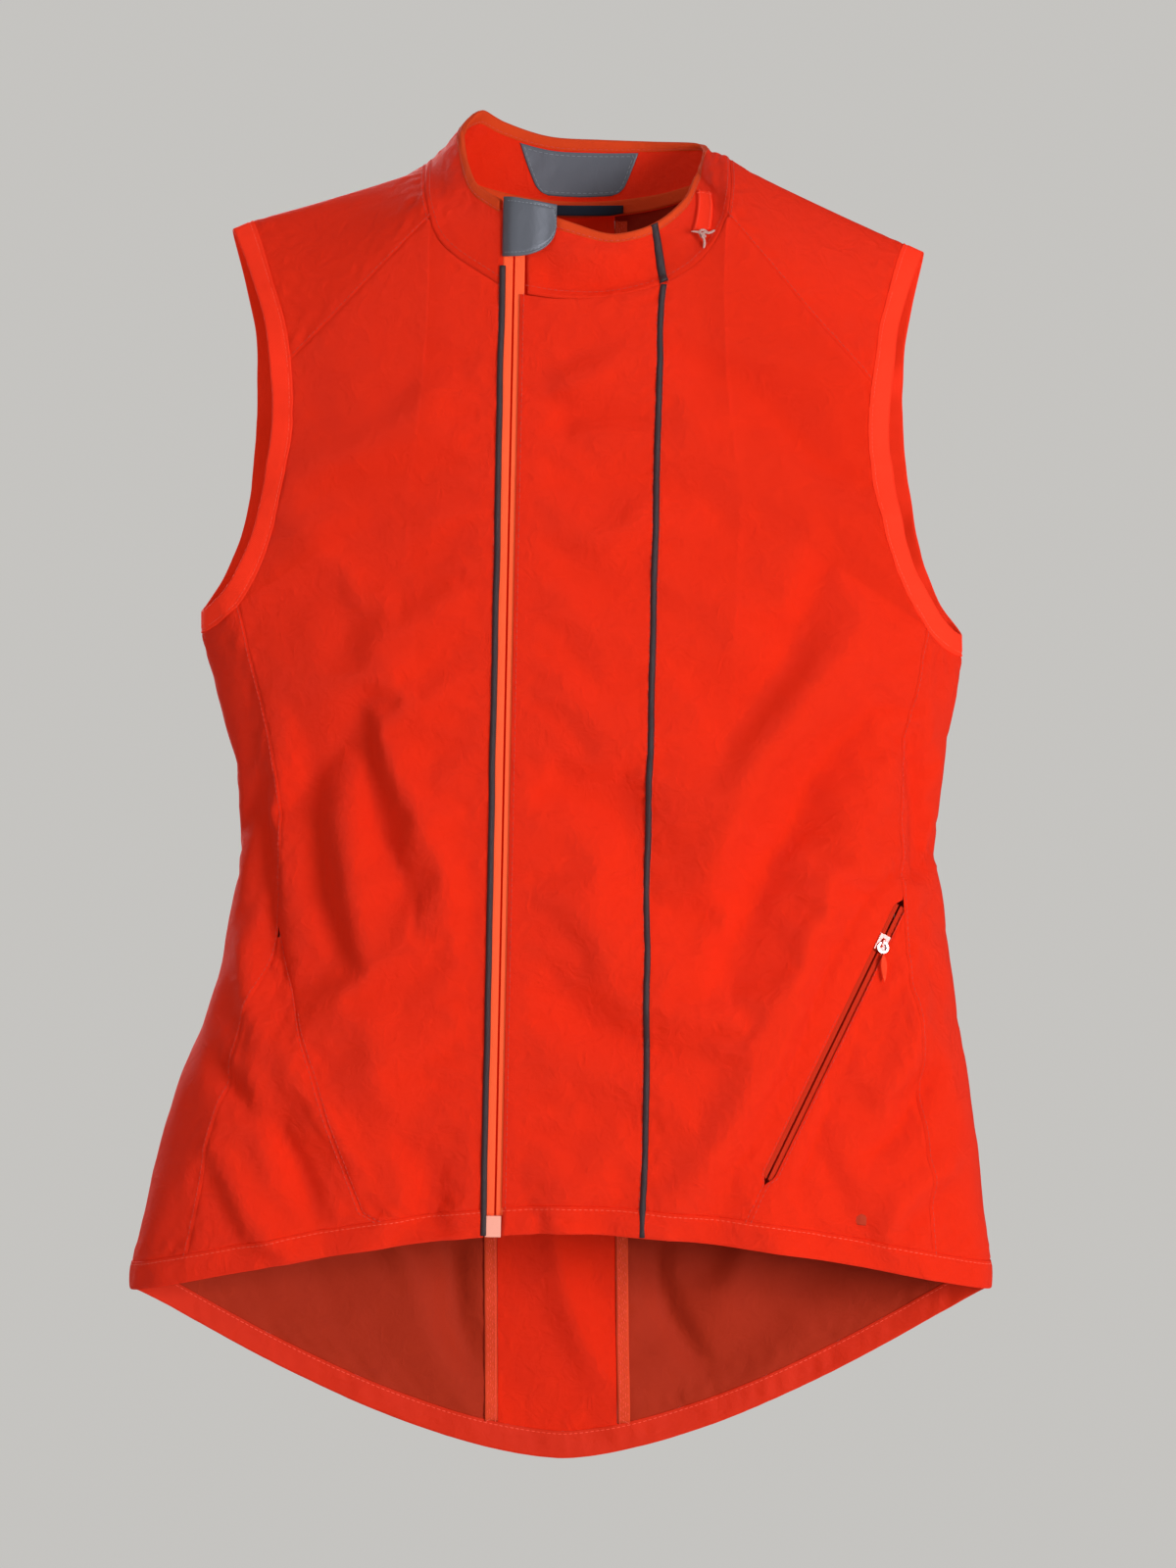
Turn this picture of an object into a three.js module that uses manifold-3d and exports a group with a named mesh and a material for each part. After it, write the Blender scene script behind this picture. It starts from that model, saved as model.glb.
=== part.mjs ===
// A light cycling gilet in high-visibility orange: a woven shell with an off-centre front zip,
// reflective piping, a stand-up collar, one zipped hip pocket and a dropped tail, in the shape it
// takes on a hanger. Millimetres, +Z up. The front faces -Y, and left and right are as seen from
// the front. The origin is at the base of the collar's back, over the hanger's neck.
import * as THREE from 'three';
import { mergeVertices } from 'three/addons/utils/BufferGeometryUtils.js';
import Module from 'manifold-3d';

const wasm = await Module();
wasm.setup();

// Driving dimensions: the shell
const shoulderWidth = 408;
const chestWidth = 436;
const waistWidth = 412;
const hemWidth = 494;
const frontDepth = 54;        // hanger plane to the front, at the neck
const frontDepthHem = 62;
const backDepth = 47;         // hanger plane to the back
const shoulderDrop = 24;      // origin down to the shoulder tips
const underarmDrop = 244;
const waistDrop = 368;
const frontLength = 630;      // origin down to the front hem, at the side folds
const frontHemRise = 37;      // how much higher the front hem is at its middle
const tailDrop = 106;         // how much lower the back hem is at its middle
const hemBand = 16;
const ridgeRound = 80;        // how far below the shoulder line the shell is rounded over
const shoulderSlope = 0.42;
const sideTilt = 0.033;       // the vest hangs a little lower on its right
const waistShift = 8;         // how far the middle of the shell drifts sideways as it hangs
const hemShift = -10;
const sideSeamPlace = 0.86;   // side seams, from the middle (0) to the side fold (1)
const backSeamLeft = 48;      // the centre back panel's edges, left and right of the middle
const backSeamRight = 22;

// Driving dimensions: collar and neck
const neckWidth = 176;
const neckFrontDrop = 64;     // origin down to the neck seam's front
const neckSideRise = 24;      // neck seam at the shoulders, above the origin
const neckBackDrop = 3;
const collarHeight = 42;
const edgeTapeShare = 0.84;   // the collar's edge tape starts at this share of its height

// Driving dimensions: cloth, trim and clearances
const cloth = 0.8;
const gap = 0.3;
const bindingWidth = 12.5;
const bindingThickness = 2;
const bindingSeamGap = 0.8;   // between a binding and the panels' curved edges
const pipingWidth = 3.5;
const pipingHeight = 1.5;

// Driving dimensions: zips
const zipTopX = -35.6;
const zipLean = 0.0196;       // how far the main zip moves to the left for each mm down
const zipTopDrop = 9;
const zipPipingOffset = 6.5;
const zipRightEdge = 4.2;     // the centre panel's edge, right of the zip's middle
const tapeWidth = 5.2;
const tapeSlit = 0.9;         // half of the slit that a slider's web runs in
const tapeThickness = 0.6;
const teethWidth = 2.2;
const teethThickness = 1.3;
const sliderLength = 10;
const sliderWidth = 6.4;
const plateThickness = 1.1;
const webThickness = 0.9;
const boxHeight = 12;
const stopHeight = 3;
const flapWidth = 30;
const flapHeight = 34;
const pocketTopDrop = 406;
const pocketDrop = 161;
const leftPocketLower = 22;   // the left pocket seam starts this much lower
const pocketSliderPlace = 28;
const pocketMouth = 4.2;      // half of the gap that the pocket zip sits in
const pocketTapeTop = 9;      // the pocket's tape starts and ends this far inside the mouth
const pocketTapeBottom = 6;
const pocketSlitMargin = 4;
const pocketTapeUnder = 2;    // how far the tape runs under the cloth on each side
const bailReach = 2.6;        // half of the bail's length
const bailGap = 1.9;          // room under the bail for a puller's eye
const bailWidth = 1.2;
const bailThickness = 0.8;
const eyeBar = 1.2;
const pullThickness = 1;
const pullerLength = 18;
const pullerWidth = 5;
const ringOuter = 3.4;
const leafLength = 16;
const leafHalf = 3.4;
const leafThickness = 1.4;
const pinLength = 22;
const flapStand = 6.2;        // how far the flap stands off the zip's line, over the slider
const flapSewnStand = 1.3;
const flapSewnOffset = -6.2;

// Driving dimensions: trim inside and on the collar
const hemThickness = 1.4;
const trimThickness = 0.6;
const patchHalfAngle = [17, 26];   // at the patch's lower and upper edge
const patchRise = [0.3, 0.78];
const patchMiddle = 89;
const loopHalf = 27.5;
const loopRibbon = 6;
const loopThickness = 1.2;
const loopBow = 10;
const loopSag = 2;
const tabLift = cloth + gap + 0.3;
const knotRadius = 2.4;
const limbRadius = 0.8;

const orange = 0xde2c08;
const orangeTape = 0xd73c14;
const bindingOrange = 0xff341c;
const zipOrange = 0xfa5a3c;
const reflective = 0x74788a;
const darkPiping = 0x413237;
const navy = 0x263042;
const pink = 0xffaa96;
const metal = 0xc8ccd0;

const vest = new THREE.Group();

function addMesh(name, geometry, color, roughness = 0.8, metalness = 0, parent = vest) {
  const mesh = new THREE.Mesh(geometry, new THREE.MeshStandardMaterial({ color, roughness, metalness }));
  mesh.name = name;
  parent.add(mesh);
  return mesh;
}

// ---- The shell's two faces: a place is given by u, -1 to 1 between the side folds, and z ----

const levels = [
  { z: -shoulderDrop, width: shoulderWidth, shift: 0 },
  { z: -underarmDrop, width: chestWidth, shift: 2 },
  { z: -waistDrop, width: waistWidth, shift: waistShift },
  { z: -frontLength, width: hemWidth, shift: hemShift },
];

function atLevel(z, key) {
  if (z >= levels[0].z) return levels[0][key];
  for (let i = 1; i < levels.length; i++) {
    const [above, below] = [levels[i - 1], levels[i]];
    if (z >= below.z) {
      const t = THREE.MathUtils.smoothstep(above.z - z, 0, above.z - below.z);
      return THREE.MathUtils.lerp(above[key], below[key], t);
    }
  }
  return levels[levels.length - 1][key];
}

const shellX = (u, z) => atLevel(z, 'shift') + u * atLevel(z, 'width') / 2;
const shellU = (x, z) => (x - atLevel(z, 'shift')) / (atLevel(z, 'width') / 2);

function shoulderLine(x) {
  return neckSideRise + 2 - (Math.abs(x) - neckWidth / 2) * shoulderSlope - sideTilt * x;
}

function fullness(u, x, z) {
  const lens = Math.sqrt(Math.max(1 - Math.abs(u) ** 2.4, 0));
  const below = THREE.MathUtils.clamp((shoulderLine(x) - z) / ridgeRound, 0, 1);
  return lens * Math.sqrt(1 - (1 - below) ** 2);
}

function front(u, z) {
  const x = shellX(u, z);
  const depth = THREE.MathUtils.lerp(frontDepth, frontDepthHem, -z / frontLength);
  return new THREE.Vector3(x, -depth * fullness(u, x, z), z);
}

function back(u, z) {
  const x = shellX(u, z);
  return new THREE.Vector3(x, backDepth * fullness(u, x, z), z);
}

const frontHem = (u) => -frontLength + frontHemRise * (1 - Math.abs(u) ** 1.6);
const backHem = (u) => -frontLength - tailDrop * (1 - Math.abs(u) ** 1.6);
const frontHemTop = (u) => frontHem(u) + hemBand;
const backHemTop = (u) => backHem(u) + hemBand;

// ---- Sheets: a grid of points made a closed slab between two lifts along its outward normals ----

const shellMiddle = new THREE.Vector3(0, 0, -frontLength / 2);

function gridOf(rows, columns, place) {
  return Array.from({ length: rows + 1 }, (_, i) =>
    Array.from({ length: columns + 1 }, (_, j) => place(i / rows, j / columns)));
}

function gridNormals(grid) {
  const rows = grid.length - 1;
  const columns = grid[0].length - 1;
  const normals = grid.map((row, i) => row.map((_, j) => {
    const up = grid[Math.min(i + 1, rows)][j].clone().sub(grid[Math.max(i - 1, 0)][j]);
    const across = row[Math.min(j + 1, columns)].clone().sub(row[Math.max(j - 1, 0)]);
    return across.cross(up).normalize();
  }));
  let outward = 0;
  grid.forEach((row, i) => row.forEach((point, j) => {
    outward += normals[i][j].dot(point.clone().sub(shellMiddle));
  }));
  if (outward < 0) normals.flat().forEach((normal) => normal.negate());
  return normals;
}

function slab(grid, inner, outer) {
  const rows = grid.length;
  const columns = grid[0].length;
  const normals = gridNormals(grid);
  const lift = (value, i, j) =>
    (typeof value === 'function' ? value(i / (rows - 1), j / (columns - 1)) : value);
  const positions = [];
  for (const side of [inner, outer]) {
    grid.forEach((row, i) => row.forEach((point, j) => {
      positions.push(...point.clone().addScaledVector(normals[i][j], lift(side, i, j)).toArray());
    }));
  }
  const at = (i, j, side) => side * rows * columns + i * columns + j;
  const indices = [];
  const quad = (a, b, c, d) => indices.push(a, b, c, a, c, d);
  for (let i = 0; i < rows - 1; i++) {
    for (let j = 0; j < columns - 1; j++) {
      quad(at(i, j, 1), at(i, j + 1, 1), at(i + 1, j + 1, 1), at(i + 1, j, 1));
      quad(at(i, j, 0), at(i + 1, j, 0), at(i + 1, j + 1, 0), at(i, j + 1, 0));
    }
    quad(at(i, 0, 0), at(i, 0, 1), at(i + 1, 0, 1), at(i + 1, 0, 0));
    quad(at(i, columns - 1, 0), at(i + 1, columns - 1, 0),
      at(i + 1, columns - 1, 1), at(i, columns - 1, 1));
  }
  for (let j = 0; j < columns - 1; j++) {
    quad(at(0, j, 0), at(0, j + 1, 0), at(0, j + 1, 1), at(0, j, 1));
    quad(at(rows - 1, j, 0), at(rows - 1, j, 1), at(rows - 1, j + 1, 1), at(rows - 1, j + 1, 0));
  }
  return facedOut(positions, indices);
}

function facedOut(positions, indices) {
  const point = (k) => new THREE.Vector3().fromArray(positions, 3 * k);
  let volume = 0;
  for (let k = 0; k < indices.length; k += 3) {
    volume += point(indices[k]).dot(point(indices[k + 1]).cross(point(indices[k + 2])));
  }
  if (volume < 0) indices.reverse();
  const geometry = new THREE.BufferGeometry();
  geometry.setAttribute('position', new THREE.Float32BufferAttribute(positions, 3));
  geometry.setIndex(indices);
  geometry.computeVertexNormals();
  return geometry;
}

// Pulls a grid's four edges in by half of a seam's gap, so that neighbours sharing an edge stay apart.
function insetEdges(grid, distance = gap) {
  const rows = grid.length - 1;
  const columns = grid[0].length - 1;
  const toward = (point, next) => point.add(next.clone().sub(point).setLength(distance));
  for (let j = 0; j <= columns; j++) {
    toward(grid[0][j], grid[1][j]);
    toward(grid[rows][j], grid[rows - 1][j]);
  }
  for (let i = 0; i <= rows; i++) {
    toward(grid[i][0], grid[i][1]);
    toward(grid[i][columns], grid[i][columns - 1]);
  }
  return grid;
}

// A line of points as a function of its share of arc length.
function alongLine(points) {
  const lengths = [0];
  for (let k = 1; k < points.length; k++) {
    lengths.push(lengths[k - 1] + points[k].distanceTo(points[k - 1]));
  }
  const total = lengths[lengths.length - 1];
  return (share) => {
    const length = share * total;
    let k = 1;
    while (k < points.length - 1 && lengths[k] < length) k += 1;
    return points[k - 1].clone().lerp(points[k], (length - lengths[k - 1]) / (lengths[k] - lengths[k - 1]));
  };
}

// A panel between four edges, each a line of points: bottom and top run left to right, the others up.
function panelBetween({ bottom, top, left, right }, rows, columns) {
  const [b, t, l, r] = [bottom, top, left, right].map(alongLine);
  return insetEdges(gridOf(rows, columns, (v, u) => new THREE.Vector3()
    .addScaledVector(b(u), 1 - v).addScaledVector(t(u), v)
    .addScaledVector(l(v), 1 - u).addScaledVector(r(v), u)
    .addScaledVector(b(0), -(1 - u) * (1 - v)).addScaledVector(b(1), -u * (1 - v))
    .addScaledVector(t(0), -(1 - u) * v).addScaledVector(t(1), -u * v)));
}

function spline(points, steps = 24) {
  return new THREE.CatmullRomCurve3(points).getPoints(steps);
}

function hemLine(face, height, from, to) {
  const uAt = (t) => THREE.MathUtils.lerp(from, to, t);
  return gridOf(24, 1, (t) => face(uAt(t), height(uAt(t)))).map((row) => row[0]);
}

// ---- Neck seam and collar, both given by the angle around the neck: 0 right, 90 back ----

function neckSeam(degrees) {
  const angle = THREE.MathUtils.degToRad(degrees);
  const x = neckWidth / 2 * Math.cos(angle);
  const forward = -Math.sin(angle);
  if (forward > 0) {
    const z = neckSideRise - (neckSideRise + neckFrontDrop) * forward ** 0.6;
    return front(shellU(x, z), z);
  }
  const z = neckSideRise + (neckSideRise + neckBackDrop) * forward;
  return back(shellU(x, z), z);
}

// Angle, and the top edge's place as shares of the neck's half width, its depth and the collar's height
const collarKnots = [
  [-109, -0.34, -0.995, 1.19], [-96, -0.09, -1.02, 1.07], [-77, 0.23, -1.00, 0.86],
  [-56, 0.49, -0.89, 0.83], [-38, 0.69, -0.58, 0.92], [-18, 0.76, -0.23, 0.75],
  [-8, 0.79, -0.08, 0.48], [0, 0.82, 0.10, 0.10], [8, 0.84, 0.30, 0.33], [30, 0.80, 0.60, 0.68],
  [55, 0.50, 0.80, 0.95], [80, 0.17, 0.83, 1.09], [100, -0.20, 0.83, 1.14], [125, -0.50, 0.75, 1.22],
  [150, -0.65, 0.45, 1.12], [172, -0.75, 0.12, 0.60], [180, -0.76, 0.02, 0.42],
  [190, -0.72, -0.35, 0.64], [207, -0.64, -0.75, 0.80], [241, -0.48, -0.99, 1.17],
];
const pipingKnot = 3;         // the right piping crosses the collar at this knot

const neckCurve = new THREE.CatmullRomCurve3(collarKnots.map(([angle]) => neckSeam(angle)));
const collarTopCurve = new THREE.CatmullRomCurve3(collarKnots.map(([angle, x, y, rise]) =>
  new THREE.Vector3(x * neckWidth / 2, y * frontDepth, neckSeam(angle).z + rise * collarHeight)));

const knotShare = (knot) => knot / (collarKnots.length - 1);
const knotAtAngle = (degrees) => {
  const next = collarKnots.findIndex(([angle]) => angle > degrees);
  const [low, high] = [collarKnots[next - 1][0], collarKnots[next][0]];
  return next - 1 + (degrees - low) / (high - low);
};

// A place on the collar: knot number around the neck, and share of its height
const collar = (knot, rise) =>
  neckCurve.getPoint(knotShare(knot)).lerp(collarTopCurve.getPoint(knotShare(knot)), rise);

function neckLine(fromKnot, toKnot) {
  return gridOf(24, 1, (t) => neckCurve.getPoint(knotShare(THREE.MathUtils.lerp(fromKnot, toKnot, t))))
    .map((row) => row[0]);
}

function collarSheet(fromKnot, toKnot, lower, upper, columns, rows = 2) {
  return gridOf(rows, columns, (v, t) =>
    collar(THREE.MathUtils.lerp(fromKnot, toKnot, t), THREE.MathUtils.lerp(lower, upper, v)));
}

// ---- Armholes: knots from the shoulder tip down the front, under the arm and up the back ----
// Each has a share of the armhole's height and a place u; the shell runs from it toward the body.

const armholeKnots = [
  { face: 'tip', down: 0, u: 0.985 }, { face: 'front', down: 0.135, u: 0.92 },
  { face: 'front', down: 0.36, u: 0.845 }, { face: 'front', down: 0.58, u: 0.83 },
  { face: 'front', down: 0.81, u: 0.86 }, { face: 'front', down: 0.95, u: 0.93 },
  { face: 'fold', down: 1, u: 1 }, { face: 'back', down: 0.92, u: 0.955 },
  { face: 'back', down: 0.80, u: 0.915 }, { face: 'back', down: 0.58, u: 0.89 },
  { face: 'back', down: 0.35, u: 0.90 }, { face: 'back', down: 0.14, u: 0.95 },
];
const raglanFrontKnot = 2;
const sideFrontKnot = 5;
const sideBackKnot = 7;
const raglanBackKnot = 10;

function armhole(side) {
  const edge = [];
  const seam = [];
  for (const { face, down, u } of armholeKnots) {
    const tilt = sideTilt * side * shoulderWidth / 2;
    const z = -THREE.MathUtils.lerp(shoulderDrop, underarmDrop, down) - tilt;
    const surface = face === 'back' ? back : front;
    const point = surface(side * u, z);
    let inward = surface(side * u * 0.85, z).sub(point);
    if (face === 'tip') {
      point.y = 0;
      inward = new THREE.Vector3(-side, 0, shoulderSlope);
    }
    if (face === 'fold') inward = new THREE.Vector3(0, 0, -1);
    if (down > 0.9 && face !== 'fold') inward.setLength(1).add(new THREE.Vector3(0, 0, -1));
    edge.push(point);
    seam.push(point.clone().add(inward.setLength(bindingWidth)));
  }
  const curve = (points) => new THREE.CatmullRomCurve3(points, true);
  const [edgeCurve, seamCurve] = [curve(edge), curve(seam)];
  const share = (knot) => ((knot / armholeKnots.length) + 1) % 1;
  const seamPoint = (knot) => seamCurve.getPoint(share(knot));
  const seamLine = (from, to) => gridOf(20, 1, (t) => seamPoint(THREE.MathUtils.lerp(from, to, t)))
    .map((row) => row[0]);
  return { edgeCurve, seamCurve, seamPoint, seamLine };
}

const armholes = { '-1': armhole(-1), 1: armhole(1) };

// A closed band around the armhole, a rectangle in section
function bindingGeometry({ edgeCurve, seamCurve }, steps = 60) {
  const positions = [];
  for (let k = 0; k < steps; k++) {
    const edge = edgeCurve.getPoint(k / steps);
    const seam = seamCurve.getPoint(k / steps);
    const across = seam.clone().sub(edge).normalize();
    const normal = edgeCurve.getTangent(k / steps).cross(across).setLength(bindingThickness / 2);
    seam.addScaledVector(across, -bindingSeamGap);
    for (const [point, sign] of [[edge, 1], [seam, 1], [seam, -1], [edge, -1]]) {
      positions.push(...point.clone().addScaledVector(normal, sign).toArray());
    }
  }
  const indices = [];
  for (let k = 0; k < steps; k++) {
    for (let c = 0; c < 4; c++) {
      const [a, b] = [4 * k + c, 4 * k + (c + 1) % 4];
      const [d, e] = [4 * ((k + 1) % steps) + c, 4 * ((k + 1) % steps) + (c + 1) % 4];
      indices.push(a, b, e, a, e, d);
    }
  }
  return facedOut(positions, indices);
}

// ---- Zip lines: straight, so that a slider can run on them ----

const zipX = (z) => zipTopX + zipLean * (z + zipTopDrop);
const zipBottomZ = frontHem(shellU(zipX(-frontLength + frontHemRise), -frontLength + frontHemRise)) - gap;
const zipBottom = front(shellU(zipX(zipBottomZ), zipBottomZ), zipBottomZ);
const zipNeckZ = neckSeam(-115).z;
const zipNeck = front(shellU(zipX(zipNeckZ), zipNeckZ), zipNeckZ);
const zipUp = zipNeck.clone().sub(zipBottom).normalize();
const zipTop = zipBottom.clone().addScaledVector(zipUp, (-zipTopDrop - zipBottomZ) / zipUp.z);
const zipLength = zipTop.distanceTo(zipBottom);

// A group whose own Z runs up a zip line, with -Y facing out of the shell
function zipFrame(top, up, outward) {
  const frame = new THREE.Group();
  const across = outward.clone().negate().cross(up).normalize();
  const inward = up.clone().cross(across);
  frame.matrixAutoUpdate = false;
  frame.matrix.makeBasis(across, inward, up).setPosition(top);
  vest.add(frame);
  return frame;
}

const mainZip = zipFrame(zipTop, zipUp, new THREE.Vector3(0, -1, 0));

function block([x0, x1], [y0, y1], [z0, z1]) {
  const geometry = new THREE.BoxGeometry(x1 - x0, y1 - y0, z1 - z0);
  return geometry.translate((x0 + x1) / 2, (y0 + y1) / 2, (z0 + z1) / 2);
}

function solidOf(geometry) {
  const bare = geometry.clone();
  for (const key of Object.keys(bare.attributes)) if (key !== 'position') bare.deleteAttribute(key);
  const merged = mergeVertices(bare, 1e-4);
  return new wasm.Manifold(new wasm.Mesh({
    numProp: 3, vertProperties: new Float32Array(merged.attributes.position.array),
    triVerts: new Uint32Array(merged.index.array),
  }));
}

function geometryOf(solid) {
  const { vertProperties, triVerts } = solid.getMesh();
  const geometry = new THREE.BufferGeometry();
  geometry.setAttribute('position', new THREE.Float32BufferAttribute(vertProperties, 3));
  geometry.setIndex(Array.from(triVerts));
  geometry.computeVertexNormals();
  return geometry;
}

function plate(shape, depth, curveSegments = 6) {
  return new THREE.ExtrudeGeometry(shape, { depth, bevelEnabled: false, curveSegments });
}

const polygon = (points) => new THREE.Shape(points.map(([x, y]) => new THREE.Vector2(x, y)));

// Depths below a zip's line, measured inward: tapes, then teeth, then a slider's back plate
const tapeFront = 0.7;
const tapeBack = tapeFront + tapeThickness;
const teethFront = tapeBack + gap;
const teethBack = teethFront + teethThickness;
const backPlateFront = teethBack + gap + 0.1;
const frontPlateBack = tapeFront - gap - 0.1;
const frontPlateFront = frontPlateBack - plateThickness;
const pullDepth = frontPlateFront - bailGap / 2;

function sliderGeometry() {
  const half = sliderWidth / 2;
  const web = webThickness / 2;
  const backPlateBack = backPlateFront + plateThickness;
  const section = polygon([
    [-half, frontPlateFront], [half, frontPlateFront], [half, frontPlateBack], [web, frontPlateBack],
    [web, backPlateFront], [half, backPlateFront], [half, backPlateBack], [-half, backPlateBack],
    [-half, backPlateFront], [-web, backPlateFront], [-web, frontPlateBack], [-half, frontPlateBack],
  ]);
  const body = plate(section, sliderLength).translate(0, 0, -sliderLength / 2);
  const foot = frontPlateFront + 0.3;
  const under = frontPlateFront - bailGap;
  const over = under - bailThickness;
  const inside = bailReach - bailThickness;
  const arch = polygon([
    [-bailReach, foot], [-bailReach, under], [-inside, over], [inside, over], [bailReach, under],
    [bailReach, foot], [inside, foot], [inside, under], [-inside, under], [-inside, foot],
  ]);
  // The arch's outline is drawn in z and y, and its thickness runs across the zip
  const bail = plate(arch, bailWidth).rotateY(-Math.PI / 2).translate(bailWidth / 2, 0, 0);
  return geometryOf(solidOf(body).add(solidOf(bail)));
}

// A flat puller hanging from its eye; the eye's top bar lies on the hinge line at z = 0
function pullerGeometry(length, width) {
  const outline = new THREE.Shape();
  const end = width * 0.4;
  outline.moveTo(-width / 2, eyeBar / 2);
  outline.lineTo(-end, -length + end);
  outline.absarc(0, -length + end, end, Math.PI, 2 * Math.PI, false);
  outline.lineTo(width / 2, eyeBar / 2);
  const eye = polygon([[-1.5, -eyeBar / 2], [1.5, -eyeBar / 2], [1.5, -4.6], [-1.5, -4.6]]);
  outline.holes.push(eye);
  return plate(outline, pullThickness).rotateX(Math.PI / 2).translate(0, pullThickness / 2, 0);
}

// ---- Front panels ----

const pipingLeftX = (z) => zipX(z) - zipPipingOffset;
const zipEdgeX = (z) => zipX(z) + zipRightEdge;
const pipingRightTop = neckSeam(collarKnots[pipingKnot][0]);
const pipingRightX = (z) => THREE.MathUtils.lerp(pipingRightTop.x, pipingRightTop.x - 13,
  Math.sqrt(THREE.MathUtils.clamp((pipingRightTop.z - z) / (frontLength + pipingRightTop.z), 0, 1)));

// A vertical seam on the front at x(z), from the top of the hem to the neck seam
function uprightSeam(xAt, topPoint) {
  const points = [];
  const u = shellU(xAt(-frontLength), -frontLength);
  for (let k = 0; k < 30; k++) {
    const z = THREE.MathUtils.lerp(frontHemTop(u), topPoint.z, k / 30);
    points.push(front(shellU(xAt(z), z), z));
  }
  return [...points, topPoint];
}

// The zip's edges lie beside its straight line, a set distance across from it
function besideZip(offset, bottomZ, topZ, steps = 12) {
  return gridOf(steps, 1, (t) => {
    const z = THREE.MathUtils.lerp(bottomZ, topZ, t);
    const point = zipTop.clone().addScaledVector(zipUp, (z - zipTop.z) / zipUp.z);
    return point.add(new THREE.Vector3(offset, 0, 0));
  }).map((row) => row[0]);
}

const lastKnot = collarKnots.length - 1;
const neckLeftOfZip = neckCurve.getPoint(1);
const neckRightOfZip = neckCurve.getPoint(0);
const zipHemU = shellU(zipX(-frontLength), -frontLength);
const leftZipSeam = besideZip(-zipPipingOffset, frontHemTop(zipHemU), neckLeftOfZip.z);
const rightZipSeam = besideZip(zipRightEdge, frontHemTop(zipHemU), neckRightOfZip.z);
const rightPipingSeam = uprightSeam(pipingRightX, pipingRightTop);
const hemUOf = (line) => shellU(line[0].x, line[0].z);

const raglanNeckKnots = { '-1': { front: knotAtAngle(197), back: knotAtAngle(150) },
  1: { front: knotAtAngle(-15), back: knotAtAngle(30) } };

function raglanSeam(side, face) {
  const isFront = face === 'front';
  const neckEnd = neckCurve.getPoint(knotShare(raglanNeckKnots[side][face]));
  const armEnd = armholes[side].seamPoint(isFront ? raglanFrontKnot : raglanBackKnot);
  const surface = isFront ? front : back;
  const middle = [1 / 3, 2 / 3].map((t) => {
    const place = neckEnd.clone().lerp(armEnd, t);
    return surface(shellU(place.x, place.z), place.z);
  });
  return spline([neckEnd, ...middle, armEnd]);
}

function sideSeam(side, face) {
  const surface = face === 'front' ? front : back;
  const hemTop = face === 'front' ? frontHemTop(sideSeamPlace) : backHemTop(sideSeamPlace);
  const armEnd = armholes[side].seamPoint(face === 'front' ? sideFrontKnot : sideBackKnot);
  const points = [0, 0.25, 0.5, 0.75].map((t) =>
    surface(side * sideSeamPlace, THREE.MathUtils.lerp(hemTop, armEnd.z, t)));
  return spline([...points, armEnd], 32);
}

const seams = {};
for (const side of [-1, 1]) {
  seams[side] = {
    raglanFront: raglanSeam(side, 'front'), raglanBack: raglanSeam(side, 'back'),
    sideFront: sideSeam(side, 'front'), sideBack: sideSeam(side, 'back'),
  };
}

// The pocket line: from the side seam down and in toward the hem
function pocketLine(side) {
  const topZ = -pocketTopDrop - (side < 0 ? leftPocketLower : 0);
  const seam = seams[side].sideFront;
  const startIndex = seam.findIndex((point) => point.z > topZ);
  const start = seam[startIndex];
  const endZ = start.z - pocketDrop;
  const end = front(side * 0.47, endZ);
  const hemU = side * 0.43;
  const up = start.clone().sub(end).normalize();
  const middle = start.clone().lerp(end, 0.5);
  const u = shellU(middle.x, middle.z);
  const slope = front(u + 0.02, middle.z).sub(front(u - 0.02, middle.z));
  const outward = up.clone().cross(slope).normalize();
  if (outward.y > 0) outward.negate();
  const across = outward.clone().negate().cross(up).normalize();
  return { start, end, hem: front(hemU, frontHemTop(hemU)), hemU, startIndex, up, outward, across };
}

const pockets = { '-1': pocketLine(-1), 1: pocketLine(1) };

// A pocket seam's edge, moved sideways where the zip's mouth is
function pocketEdge(side, shift) {
  const { start, end, hem, across } = pockets[side];
  const mouthEnd = (t) => end.clone().lerp(start, t).addScaledVector(across, shift);
  return [hem.clone(), end.clone(), mouthEnd(0.03), mouthEnd(0.25), mouthEnd(0.5), mouthEnd(0.75),
    mouthEnd(0.97), start.clone()];
}

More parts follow.
